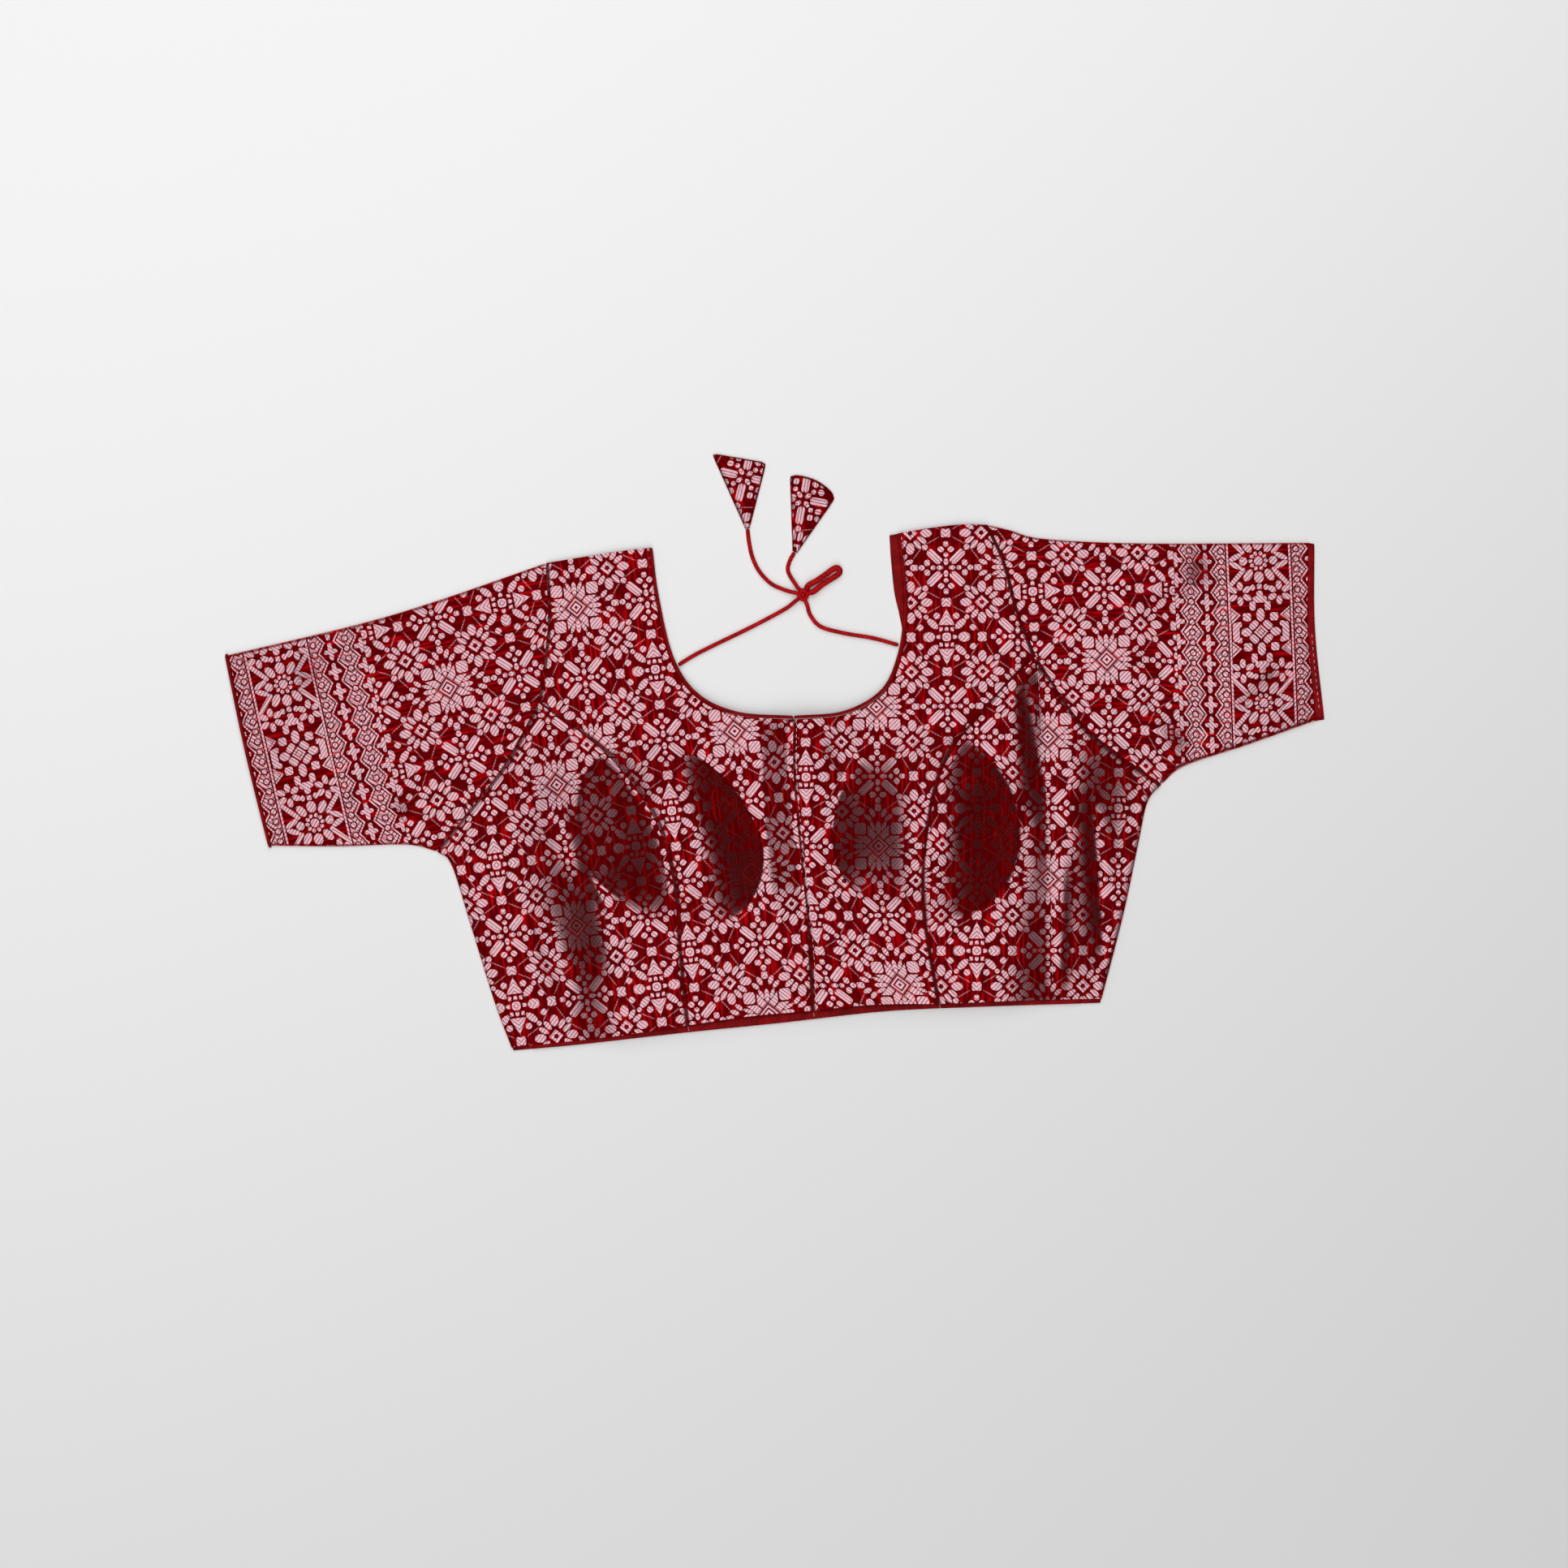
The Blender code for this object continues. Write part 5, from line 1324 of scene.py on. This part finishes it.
class BLOUSE_OT_cords(bpy.types.Operator):
    """Makes the two neck cords, their knot, the bow loop and the two triangular tie ends"""
    bl_idname = "blouse.cords"
    bl_label = "Neck cords"

    def execute(self, context):
        sizes = context.scene.blouse_sizes
        red = cord_red(context)
        knot = self.knot(red, sizes.cord)
        ends = {name: self.tie_end(context, name, corners) for name, corners in TIE_ENDS.items()}
        for name, route in CORD_ROUTES.items():
            route = np.vstack((np.array(route), knot_entry(name)))
            if name == "dori_loop":
                route = np.vstack((knot_entry("loop_out")[::-1], route))
            path = row_place(along(route, len(route) * CORD_STEPS))
            path[-1] += unit(path[-1] - path[-2]) * CORD_SINK
            radius = sizes.cord
            if name == "dori_loop":
                path[0] += unit(path[0] - path[1]) * CORD_SINK
                radius += LOOP_PUFF * MM
                path[:, 2] += LOOP_PUFF * MM
            piece = place_piece(tube_piece(name + "_cord", path, radius, red), "cord_red", name)
            tail = {"dori_tail_left": "latkan_left", "dori_tail_right": "latkan_right"}.get(name)
            if tail:
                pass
            elif name == "dori_loop":
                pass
            else:
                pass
        return {"FINISHED"}

    def knot(self, red, radius):
        """The knot: three closed rings of cord on its ellipsoid and an upright one through the middle.

        A ring is centre + reach * (cos a, sin a, 0), tilted about X and then turned about Z.
        """
        centre = row_place(KNOT_CENTRE)
        reach = np.array(KNOT_SIZE) / 2 * MM - radius * KNOT_BAND_SINK
        angle = np.linspace(0.0, 2 * math.pi, KNOT_STEPS + 1)
        paths = []
        for turn, tilt in KNOT_BANDS:
            x, y, z = np.cos(angle), np.sin(angle) * math.cos(tilt), np.sin(angle) * math.sin(tilt)
            c, s = math.cos(turn), math.sin(turn)
            paths.append(centre + np.stack((x * c - y * s, x * s + y * c, z), axis=1) * reach)
        upright = (np.zeros_like(angle), KNOT_WAIST * reach[1] * np.cos(angle), reach[2] * np.sin(angle))
        paths.append(centre + np.stack(upright, axis=1))
        quads = grid_faces(KNOT_STEPS, KNOT_SIDES, around=True, closed=True)[:, OTHER_TURN]
        size = (KNOT_STEPS, KNOT_SIDES)
        around = np.broadcast_to(np.linspace(0.0, KNOT_CLOTH[0], KNOT_SIDES, endpoint=False), size)
        down = np.broadcast_to(np.linspace(0.0, KNOT_CLOTH[1], KNOT_STEPS, endpoint=False)[:, None], size)
        points, faces, uvs = [], [], []
        for number, path in enumerate(paths):
            normal = unit(np.cross(path[1] - path[0], path[KNOT_STEPS // 4] - path[0]))
            points.append(closed_tube_points(path, radius, KNOT_SIDES, normal).reshape(-1, 3))
            faces.append(quads + number * KNOT_STEPS * KNOT_SIDES)
            uvs.append(np.stack((around, down), axis=-1).reshape(-1, 2))
        piece = mesh_piece("dori_knot_bands", np.vstack(points), np.vstack(faces), np.vstack(uvs), red)
        return place_piece(piece, "cord_red", "dori_knot")

    def tie_end(self, context, name, corners):
        """A stitched triangle of brocade: a patch between its corners, u across it and v away from its cord.

        It swells by sqrt(4u(1-u)) * sqrt(1 - v^6) * smoothstep(0, 0.1, v).
        """
        corner = np.array(corners)
        count = TIE_END_STEPS
        u = np.linspace(0.0, 1.0, count + 1)[None, :, None]
        v = np.linspace(0.0, 1.0, count + 1)[:, None, None]
        apex_left, far_left, far_right, apex_right = corner
        plan = ((apex_left * (1 - u) + apex_right * u) * (1 - v) + (far_left * (1 - u) + far_right * u) * v)
        if name == "latkan_right":
            plan = plan + np.array(RIGHT_TIE_BOW) * (4 * u * (1 - u)) * v ** 2 * BOW_SHARE
        # The two far corners are blunt: the plan is drawn in near them.
        for tip in (far_left, far_right):
            near = np.exp(-np.square(np.linalg.norm(plan - tip, axis=-1, keepdims=True) / CORNER_REACH))
            plan = plan + unit(corner.mean(axis=0) - tip) * near * CORNER_PULL
        swell = np.sqrt(np.clip(4 * u * (1 - u), 0, 1)) * np.sqrt(np.clip(1 - v ** 6, 0, 1))
        swell = swell * smoothstep(0, 0.1, v)
        swell = np.broadcast_to(swell[..., 0], plan.shape[:2])
        half = TIE_END_THICK / 2
        thick = half * (TIE_END_RIM + (1 - TIE_END_RIM) * swell)
        tall, by_x, by_y = TIE_END_RIPPLE
        top = half + thick + tall * np.sin(plan[..., 0] * by_x + plan[..., 1] * by_y) * swell
        low = half - thick
        upper = np.concatenate((plan, top[..., None]), axis=-1)
        lower = np.concatenate((plan, low[..., None]), axis=-1)
        points = row_place(np.vstack((upper.reshape(-1, 3), lower.reshape(-1, 3))))
        size = (count + 1) ** 2
        faces = grid_faces(count + 1, count + 1)
        index = np.arange(size).reshape(count + 1, count + 1)
        rim = np.concatenate((index[0, :-1], index[:-1, -1], index[-1, :0:-1], index[:0:-1, 0]))
        walls = np.stack((rim, np.roll(rim, -1), np.roll(rim, -1) + size, rim + size), axis=-1)
        faces = np.vstack((faces, faces[:, ::-1] + size, walls))
        uv = pattern_place(plan, LAY[name]).reshape(-1, 2)
        piece = mesh_piece(name + "_brocade", points, faces, np.vstack((uv, uv)), brocade(context, "tie_end"))
        first_face_up(piece)
        place_piece(piece, "tie_end_brocade", name)
        run = np.linalg.norm(np.diff(corner, axis=0), axis=1)
        size = (run[1] + TIE_END_ALLOWANCE[0], max(run[0], run[2]) + TIE_END_ALLOWANCE[1])
        declare_panel(flat_area(plan), size)
        return piece


# Rows of stitches on the front: line, how far beside it, pitch in metres, and length in the setting's stitches.
RIGHT_CREASE = ((188.9, 88.0), (191.5, 40.0), (197.0, -40.0), (199.5, -142.0))
STITCH_ROWS = {
    "stitches_centre_front": (CENTRE, 2.2, 0.0043, 1.0),
    "stitches_right_crease": (RIGHT_CREASE, 0.0, 0.0052, 1.1),
}
STITCH_THICK = 0.0005
TACK = (0.0015, 0.0011, 0.0006)    # pitch, length and thickness of a tack's stitches, in metres
TACK_TOP = 1.0                     # how far a tack's upper end lies above the facing's underside
TACK_RUN = (0.6, -2.9, -0.1)       # from its upper to its lower end


class BLOUSE_OT_front(bpy.types.Operator):
    """Makes the four brocade front panels, the neck binding and the stitches along their seams"""
    bl_idname = "blouse.front"
    bl_label = "Front panels"

    def execute(self, context):
        sizes = context.scene.blouse_sizes
        plans = front_plans()
        sewn = {
            "front_centre_left": (("left", "right"), ("bottom",), ("back_panel_cloth",)),
            "front_centre_right": (("left", "right"), ("bottom",), ("back_panel_cloth",)),
            "front_side_left": (("top", "right"), ("bottom", "left"), ("back_panel_cloth",)),
            "front_side_right": (("top", "left"), ("bottom", "right"), ("back_panel_cloth",)),
        }
        cloth = brocade(context, "front")
        for name, (sewn_edges, free_edges, under) in sewn.items():
            plan = plans[name]
            surface = with_edge_lines(front_surface(plan, sewn_edges, free_edges, sizes))
            faces = grid_faces(*surface.shape[:2])
            uv = pattern_place(surface, LAY[name])
            piece = mesh_piece(name + "_cloth", row_place(surface), faces, uv, cloth, (0.0, 0.0, 1.0))
            give_wall(piece, sizes.wall, lining_red(context))
            place_piece(piece, "front_brocade", name)
            span = surface.reshape(-1, 3).max(axis=0) - surface.reshape(-1, 3).min(axis=0)
            size = (span[0] * FLAT_SHARE, span[1] * FLAT_SHARE)
            declare_panel(flat_area(plan) * FULLNESS, size)
        for side in ("left", "right"):
            self.neck_binding(context, plans["neck_" + side], side == "left")
        self.stitches(context)
        return {"FINISHED"}

    def neck_binding(self, context, edge, cloth_on_left):
        """A rolled tube whose centre keeps a seam and a radius from the front's neck edge."""
        sizes = context.scene.blouse_sizes
        run = unit(np.gradient(edge, axis=0))
        aside = np.stack((-run[:, 1], run[:, 0]), axis=1) * (SEAM + sizes.binding / MM)
        spot = edge + (aside if cloth_on_left else -aside)
        z = front_height(edge[:, 0], edge[:, 1]) - WALL / 2
        path = np.concatenate((spot, z[:, None]), axis=1)
        path[-1] += unit(path[-2] - path[-1]) * SEAM
        name = "neck_piping_left" if cloth_on_left else "neck_piping_right"
        piece = tube_piece(name + "_cloth", row_place(path), sizes.binding, trim_red(context))
        place_piece(piece, "trim_red", name)

    def stitches(self, context):
        """Rows of stitches beside the centre front and down the right side, and tacks over the hem facing."""
        sizes = context.scene.blouse_sizes
        for name, (line, aside, pitch, length) in STITCH_ROWS.items():
            line = along(line, HEM_STEPS)
            x, y = line[:, 0] + aside, line[:, 1]
            z = front_height(x, y) + crease_height(x, y, CREASES)
            path = row_place(np.stack((x, y, z), axis=1))
            piece = stitch_run(name, path, pale_thread(context), pitch, sizes.stitch * length, STITCH_THICK)
            place_piece(piece, "front_brocade")
        for name, (x, y) in HEM_TACKS.items():
            upper = np.array((x, y, FRONT_BOTTOM + TACK_TOP))
            path = row_place(np.stack((upper, upper + TACK_RUN)))
            piece = stitch_run(name, path, pale_thread(context), *TACK)
            place_piece(piece, "trim_red")


BACK_MIDDLE = ((14.6, 9.0), (14.0, -80.0), (12.0, -168.0))    # where the back's two halves meet
BACK_SHOULDER_LEFT = ((-162.1, 159.5), (-88.6, 170.3))
BACK_SHOULDER_RIGHT = ((83.2, 179.3), (108.2, 183.9), (153.4, 186.8))
BACK_NECK_SHARE = 0.52        # of a half's rows, those that run along the neck
MERGE = 0.00005
BACK_ALLOWANCE = 2.0          # what the back's flat size has over its outline
# Facings: segments along a strip, those left off at its ends, and how far its inner edge lies under the front.
HEM_FACING_STEPS = 240
HEM_FACING_ENDS = 8
HEM_FACING_TUCK = (0.0, 1.4)
NECK_FACING_STEPS = 60
NECK_FACING_TUCK = (2.0, 0.0)
# A strip's profile: shares of the way from its inner to its outer line, and heights in thicknesses.
STRIP_SHARES = np.array((0.0, 0.5, 0.86, 0.96, 1.0, 0.96, 0.86, 0.5, 0.0))
STRIP_HEIGHTS = np.array((1.0, 1.0, 1.0, 0.86, 0.5, 0.14, 0.0, 0.0, 0.0))
STRIP_CLOTH = 6.0             # cloth coordinate across a strip, in mm


class BLOUSE_OT_back(bpy.types.Operator):
    """Makes the back panel and the red facings that show at the neck and below the front hem"""
    bl_idname = "blouse.back"
    bl_label = "Back panel"

    def execute(self, context):
        sizes = context.scene.blouse_sizes
        halves = self.half_plans()
        points, faces, uvs, area, start = [], [], [], 0.0, 0
        for plan in halves:
            x, y = plan[..., 0], plan[..., 1]
            edge = np.minimum.reduce(from_edges(plan))
            z = crease_height(x, y, BACK_CREASES) * smoothstep(0.0, BACK_CREASE_MARGIN, edge)
            points.append(np.concatenate((plan, z[..., None]), axis=-1).reshape(-1, 3))
            faces.append(grid_faces(*plan.shape[:2]) + start)
            uvs.append(pattern_place(plan, LAY["back_panel"]).reshape(-1, 2))
            start += plan.shape[0] * plan.shape[1]
            area += flat_area(plan)
        points = np.vstack(points)
        piece = mesh_piece("back_panel_cloth", row_place(points), np.vstack(faces), np.vstack(uvs),
                           brocade(context, "back"), (0.0, 0.0, -1.0))
        self.join_halves(piece)
        give_wall(piece, sizes.wall, lining_red(context))
        place_piece(piece, "back_brocade", "back_panel")
        span = points.max(axis=0) - points.min(axis=0)
        declare_panel(area, (span[0] + BACK_ALLOWANCE, span[1] + BACK_ALLOWANCE))
        self.facings(context)
        return {"FINISHED"}

    def half_plans(self):
        """Left and right half as patches between shoulder, neck and centre line, hem, and armhole with side."""
        armhole = (ARMHOLE_UPPER_STEPS + ARMHOLE_LOWER_STEPS) * BACK_FINE
        rows = armhole + SIDE_SEAM_STEPS * BACK_FINE
        neck_rows = int(rows * BACK_NECK_SHARE)
        middle = np.array(BACK_MIDDLE)
        hem = along(BACK_HEM, HEM_STEPS)
        split = int(np.argmin(np.abs(hem[:, 0] - middle[-1, 0])))
        middle[-1] = hem[split]
        centre = along(middle, rows - neck_rows)
        plans = []
        for side in ("left", "right"):
            if side == "left":
                upper, lower, seam = ARMHOLE_LEFT_UPPER, ARMHOLE_LEFT_LOWER, SIDE_LEFT[:-1] + BACK_HEM[:1]
                shoulder, neck, bottom = BACK_SHOULDER_LEFT, BACK_NECK_LEFT, hem[:split + 1]
            else:
                upper, lower, seam = ARMHOLE_RIGHT_UPPER, ARMHOLE_RIGHT_LOWER, SIDE_RIGHT[:-1] + BACK_HEM[-1:]
                shoulder, neck, bottom = BACK_SHOULDER_RIGHT, BACK_NECK_RIGHT, hem[split:]
            shoulder, bottom = along(shoulder, BACK_COLUMNS), evenly(bottom, BACK_COLUMNS)
            outer = np.vstack((along(upper, ARMHOLE_UPPER_STEPS * BACK_FINE)[:-1],
                               along(lower, ARMHOLE_LOWER_STEPS * BACK_FINE)[:-1],
                               along(seam, SIDE_SEAM_STEPS * BACK_FINE)))
            inner = np.vstack((along(neck, neck_rows)[:-1], centre))
            gaps = np.where(np.arange(rows) < armhole, CLOTH_SEAM / 2, 0.0)
            plans.append(sided_plan(side, shoulder, outer, bottom, inner, gaps, 0.0))
        return plans

    def join_halves(self, piece):
        """Merges the two halves along the centre line."""
        cloth = bmesh.new()
        cloth.from_mesh(piece.data)
        bmesh.ops.remove_doubles(cloth, verts=list(cloth.verts), dist=MERGE)
        cloth.to_mesh(piece.data)
        cloth.free()

    def facings(self, context):
        """Flat strips between two lines that run the same way, with a softly rolled outer edge."""
        hem = HEM_LEFT_SIDE[:-1] + HEM_LEFT_CENTRE[:-1] + HEM_RIGHT_CENTRE[:-1] + HEM_RIGHT_SIDE
        shown = slice(HEM_FACING_ENDS, -HEM_FACING_ENDS)
        inner, outer = along(hem, HEM_FACING_STEPS)[shown], along(BACK_HEM, HEM_FACING_STEPS)[shown]
        strip_piece(context, "hem_facing_back", inner + HEM_FACING_TUCK, outer, FRONT_BOTTOM)
        inner, outer = along(NECK_RIGHT[:3], NECK_FACING_STEPS), along(BACK_NECK_RIGHT[:4], NECK_FACING_STEPS)
        strip_piece(context, "neck_facing_back", inner + NECK_FACING_TUCK, outer, FRONT_BOTTOM)


def strip_piece(context, name, inner, outer, bottom):
    """A folded strip between two lines: a closed profile, round at its outer edge, carried along them."""
    share = STRIP_SHARES
    plan = inner[:, None] * (1 - share)[None, :, None] + outer[:, None] * share[None, :, None]
    size = plan.shape[:2]
    z = np.broadcast_to(bottom + STRIP_HEIGHTS * (context.scene.blouse_sizes.facing / MM), size)
    rings = row_place(np.concatenate((plan, z[..., None]), axis=-1))
    lengthwise = np.broadcast_to(lengths_along(outer)[:, None], size)
    uv = np.stack((np.broadcast_to(share * STRIP_CLOTH, size), lengthwise), axis=-1)
    faces = grid_faces(*size, around=True)[:, OTHER_TURN]
    piece = mesh_piece(name + "_cloth", rings, faces, uv, trim_red(context), caps=end_caps(*size))
    first_face_up(piece)
    return place_piece(piece, "trim_red", name)


CUFF_PROBE = 25               # a column of the left sleeve's rings where the direction out of the cuff is read
CUFF_FACING_ENDS = 2          # segments that the right cuff's strip and its stitches stop short of the folds
CUFF_FACING_TUCK = (1.2, 0.0)
CUFF_STITCH_ENDS = 6
CUFF_STITCH_SHARES = (0.45, 0.55)    # where the stitches run, between the upper and the lower edge
CUFF_STITCH_PITCH = 0.0046
CUFF_STITCH_THICK = 0.0004


class BLOUSE_OT_sleeves(bpy.types.Operator):
    """Makes both sleeves, the binding of the left cuff and the stitched facing of the right one"""
    bl_idname = "blouse.sleeves"
    bl_label = "Sleeves"

    def execute(self, context):
        binding = 2 * BINDING_RADIUS + SEAM
        armhole, fold, under, cuff = self.outline(ARMHOLE_LEFT_UPPER, ARMHOLE_LEFT_LOWER, SLEEVE_LEFT_TOP,
                                                  SLEEVE_LEFT_UNDER, SLEEVE_LEFT_CUFF)
        plan = panel_plan(armhole, under, cuff, fold, (CLOTH_SEAM / 2, 0.0, binding, 0.0))
        rings = self.sleeve(context, "sleeve_left", plan, (0.0, 0.0), cuff)
        self.cuff_binding(context, rings)

        armhole, fold, under, cuff = self.outline(ARMHOLE_RIGHT_UPPER, ARMHOLE_RIGHT_LOWER, SLEEVE_RIGHT_TOP,
                                                  SLEEVE_RIGHT_UNDER, SLEEVE_RIGHT_CUFF)
        plan = panel_plan(armhole[::-1], fold, cuff[::-1], under, (CLOTH_SEAM / 2, 0.0, 0.0, 0.0))[:, ::-1]
        rings = self.sleeve(context, "sleeve_right", plan, (CUFF_FACING_TOP, CUFF_FACING_UNDER), cuff)
        self.cuff_facing(context, rings, plan.shape[1])
        return {"FINISHED"}

    def outline(self, upper, lower, top, under, cuff):
        """The armhole, the folded top, the under edge and the cuff of a sleeve, each as places for its grid."""
        armhole = np.vstack((along(upper, ARMHOLE_UPPER_STEPS * FINE)[:-1],
                             along(lower, ARMHOLE_LOWER_STEPS * FINE)))
        fold, under = along(top, SLEEVE_LENGTHWISE * FINE), along(under, SLEEVE_LENGTHWISE * FINE)
        return armhole, fold, under, along(cuff, len(armhole) - 1)

    def sleeve(self, context, name, plan, lower_reach, cuff):
        """Rings of a flattened tube: the upper layer, a half-round fold, the lower layer and a fold again."""
        sizes = context.scene.blouse_sizes
        rows, columns = plan.shape[:2]
        # A binding takes most of the last cell's room, so the row before the cuff is set midway.
        plan[-2] = (plan[-3] + plan[-1]) / 2
        layer = plan.copy()
        top_edge, under_edge = plan[:, 0].copy(), plan[:, -1].copy()
        for edge, column in ((top_edge, 0), (under_edge, -1)):
            edge[0] += unit(plan[1, column] - edge[0]) * FOLD_SETBACK
        layer[:, 0] = top_edge + (plan[:, 1] - top_edge) * ROLL_SHARE
        layer[:, -1] = under_edge + (plan[:, -2] - under_edge) * ROLL_SHARE
        lengthwise = np.linspace(0.0, 1.0, rows)[:, None]
        across = np.linspace(0.0, 1.0, columns)[None, :]
        x, y = layer[..., 0], layer[..., 1]
        z = sleeve_height(x, y, lengthwise, across)
        distances = from_edges(plan)
        inner = np.minimum.reduce(distances)
        z = z + crease_height(x, y, CREASES) * smoothstep(0.0, SLEEVE_CREASE_MARGIN, inner)
        z = z - seam_dip([distances[0]], sizes.seam_dip / MM, SEAM_DIP_WIDTH)
        z = z - edge_roll(np.minimum(distances[1], distances[3]), *FOLDED_EDGE_ROLL)
        upper = np.concatenate((layer, z[..., None]), axis=-1)
        reach = np.where(np.arange(rows) == rows - 1, 1.0, 0.0)[:, None]
        lower_x = layer[..., 0] + reach * (lower_reach[0] * (1 - across) + lower_reach[1] * across)
        lower = np.stack((lower_x, layer[..., 1], np.zeros((rows, columns))), axis=-1)[:, ::-1]
        under_fold = np.stack((under_edge[:, 0], under_edge[:, 1], z[:, -1] / 2), axis=-1)[:, None]
        top_fold = np.stack((top_edge[:, 0], top_edge[:, 1], z[:, 0] / 2), axis=-1)[:, None]
        rings = np.concatenate((upper, under_fold, lower, top_fold), axis=1)

        uv = with_edge_lines(self.cloth_place(name, rings, columns, cuff), False)
        mouth, rings = rings, with_edge_lines(rings, False)
        faces = grid_faces(*rings.shape[:2], around=True)
        piece = mesh_piece(name + "_cloth", row_place(rings), faces, uv, brocade(context, "sleeve"))
        self.point_outward(piece, columns)
        give_wall(piece, sizes.wall, lining_red(context))
        place_piece(piece, "sleeve_brocade", name)
        area = 2 * flat_area(plan)
        width = float(np.linalg.norm(plan[0, 0] - plan[0, -1]))
        length = float(np.linalg.norm(plan[-1, 0] - plan[0, 0]))
        declare_panel(area, (length * FLAT_SHARE, 2 * width * FLAT_SHARE))
        return mouth

    def cloth_place(self, name, rings, columns, cuff):
        """Distance from the cuff and place along it in mm; the lower layer goes on from the upper's fold."""
        star = np.array(SLEEVE_STAR_ACROSS[name])
        down = unit(cuff[-1] - cuff[0])
        inward = np.array((-down[1], down[0]))
        if inward @ (star - cuff[0]) < 0:
            inward = -inward
        sign = 1.0 if name == "sleeve_left" else -1.0
        place = rings[..., :2]
        s = (place - cuff[0]) @ inward
        t = (place - star) @ down * sign
        top = t[:, :1]
        lower = np.arange(rings.shape[1]) > columns
        t = np.where(lower[None, :], 2 * top - t, t)
        star_s = float((star - cuff[0]) @ inward)
        beyond = smoothstep(*PATTERN_BLEND, s)
        return np.stack((s + (SLEEVE_STAR - star_s) * beyond, t + BORDER_SLIP[name] * (1.0 - beyond)), axis=-1)

    def point_outward(self, piece, columns):
        """Turns the tube right side out: its upper layer has to point up."""
        if of_faces(piece.data, "normal")[:columns - 1, 2].sum() < 0:
            piece.data.flip_normals()

    def cuff_binding(self, context, rings):
        """A rolled tube round the mouth of the left sleeve, a seam and a radius outside its edge."""
        sizes = context.scene.blouse_sizes
        away = unit(rings[-1, CUFF_PROBE, :2] - rings[-2, CUFF_PROBE, :2])
        mouth = rings[-1].copy()
        mouth[:, :2] += away * (SEAM + sizes.binding / MM)
        mouth[:, 2] = np.where(mouth[:, 2] > 0.0, mouth[:, 2], sizes.binding / MM + BINDING_LIFT)
        mouth = np.vstack((mouth, mouth[:1]))
        piece = tube_piece("cuff_piping_left_cloth", row_place(mouth), sizes.binding, trim_red(context),
                           np.append(away, 0.0), closed=True)
        place_piece(piece, "trim_red", "cuff_piping_left")

    def cuff_facing(self, context, rings, columns):
        """The strip that shows beyond the right cuff, with a pale row of stitches along it."""
        sizes = context.scene.blouse_sizes
        upper = rings[-1, :columns, :2]
        lower = rings[-1, columns + 1:2 * columns + 1, :2][::-1]
        shown = slice(CUFF_FACING_ENDS, -CUFF_FACING_ENDS)
        strip_piece(context, "cuff_facing_right", upper[shown] - CUFF_FACING_TUCK, lower[shown], FRONT_BOTTOM)
        sewn = slice(CUFF_STITCH_ENDS, -CUFF_STITCH_ENDS)
        line = upper[sewn] * CUFF_STITCH_SHARES[0] + lower[sewn] * CUFF_STITCH_SHARES[1]
        z = np.full(len(line), FRONT_BOTTOM + sizes.facing / MM)
        path = row_place(np.concatenate((line, z[:, None]), axis=1))
        piece = stitch_run("stitches_right_cuff", path[len(path) // 2:], pale_thread(context),
                           CUFF_STITCH_PITCH, sizes.stitch, CUFF_STITCH_THICK)
        place_piece(piece, "trim_red")


class BLOUSE_PT_panel(bpy.types.Panel):
    """Sizes, colours and the pieces of the blouse"""
    bl_idname = "BLOUSE_PT_panel"
    bl_label = "Brocade blouse"
    bl_space_type = "VIEW_3D"
    bl_region_type = "UI"
    bl_category = "Blouse"

    def draw(self, context):
        for group in (context.scene.blouse_sizes, context.scene.blouse_colours, context.scene.blouse_stage):
            box = self.layout.box()
            for name in group.bl_rna.properties.keys():
                if name not in ("rna_type", "name"):
                    box.prop(group, name)
        for operator in OPERATORS:
            self.layout.operator(operator.bl_idname)


OPERATORS = (BLOUSE_OT_stage, BLOUSE_OT_cords, BLOUSE_OT_back, BLOUSE_OT_front, BLOUSE_OT_sleeves)
CLASSES = (BlouseColours, BlouseSizes, BlouseStage) + OPERATORS + (BLOUSE_PT_panel,)


def register():
    """Registers the classes and hangs the settings on the scene."""
    for one in CLASSES:
        bpy.utils.register_class(one)
    bpy.types.Scene.blouse_colours = PointerProperty(type=BlouseColours)
    bpy.types.Scene.blouse_sizes = PointerProperty(type=BlouseSizes)
    bpy.types.Scene.blouse_stage = PointerProperty(type=BlouseStage)


def unregister():
    """Takes the settings and the classes away again."""
    del bpy.types.Scene.blouse_colours
    del bpy.types.Scene.blouse_sizes
    del bpy.types.Scene.blouse_stage
    for one in reversed(CLASSES):
        bpy.utils.unregister_class(one)


def main():
    register()
    bpy.ops.blouse.stage()
    bpy.ops.blouse.cords()
    bpy.ops.blouse.back()
    bpy.ops.blouse.front()
    bpy.ops.blouse.sleeves()


if __name__ == "__main__":
    main()
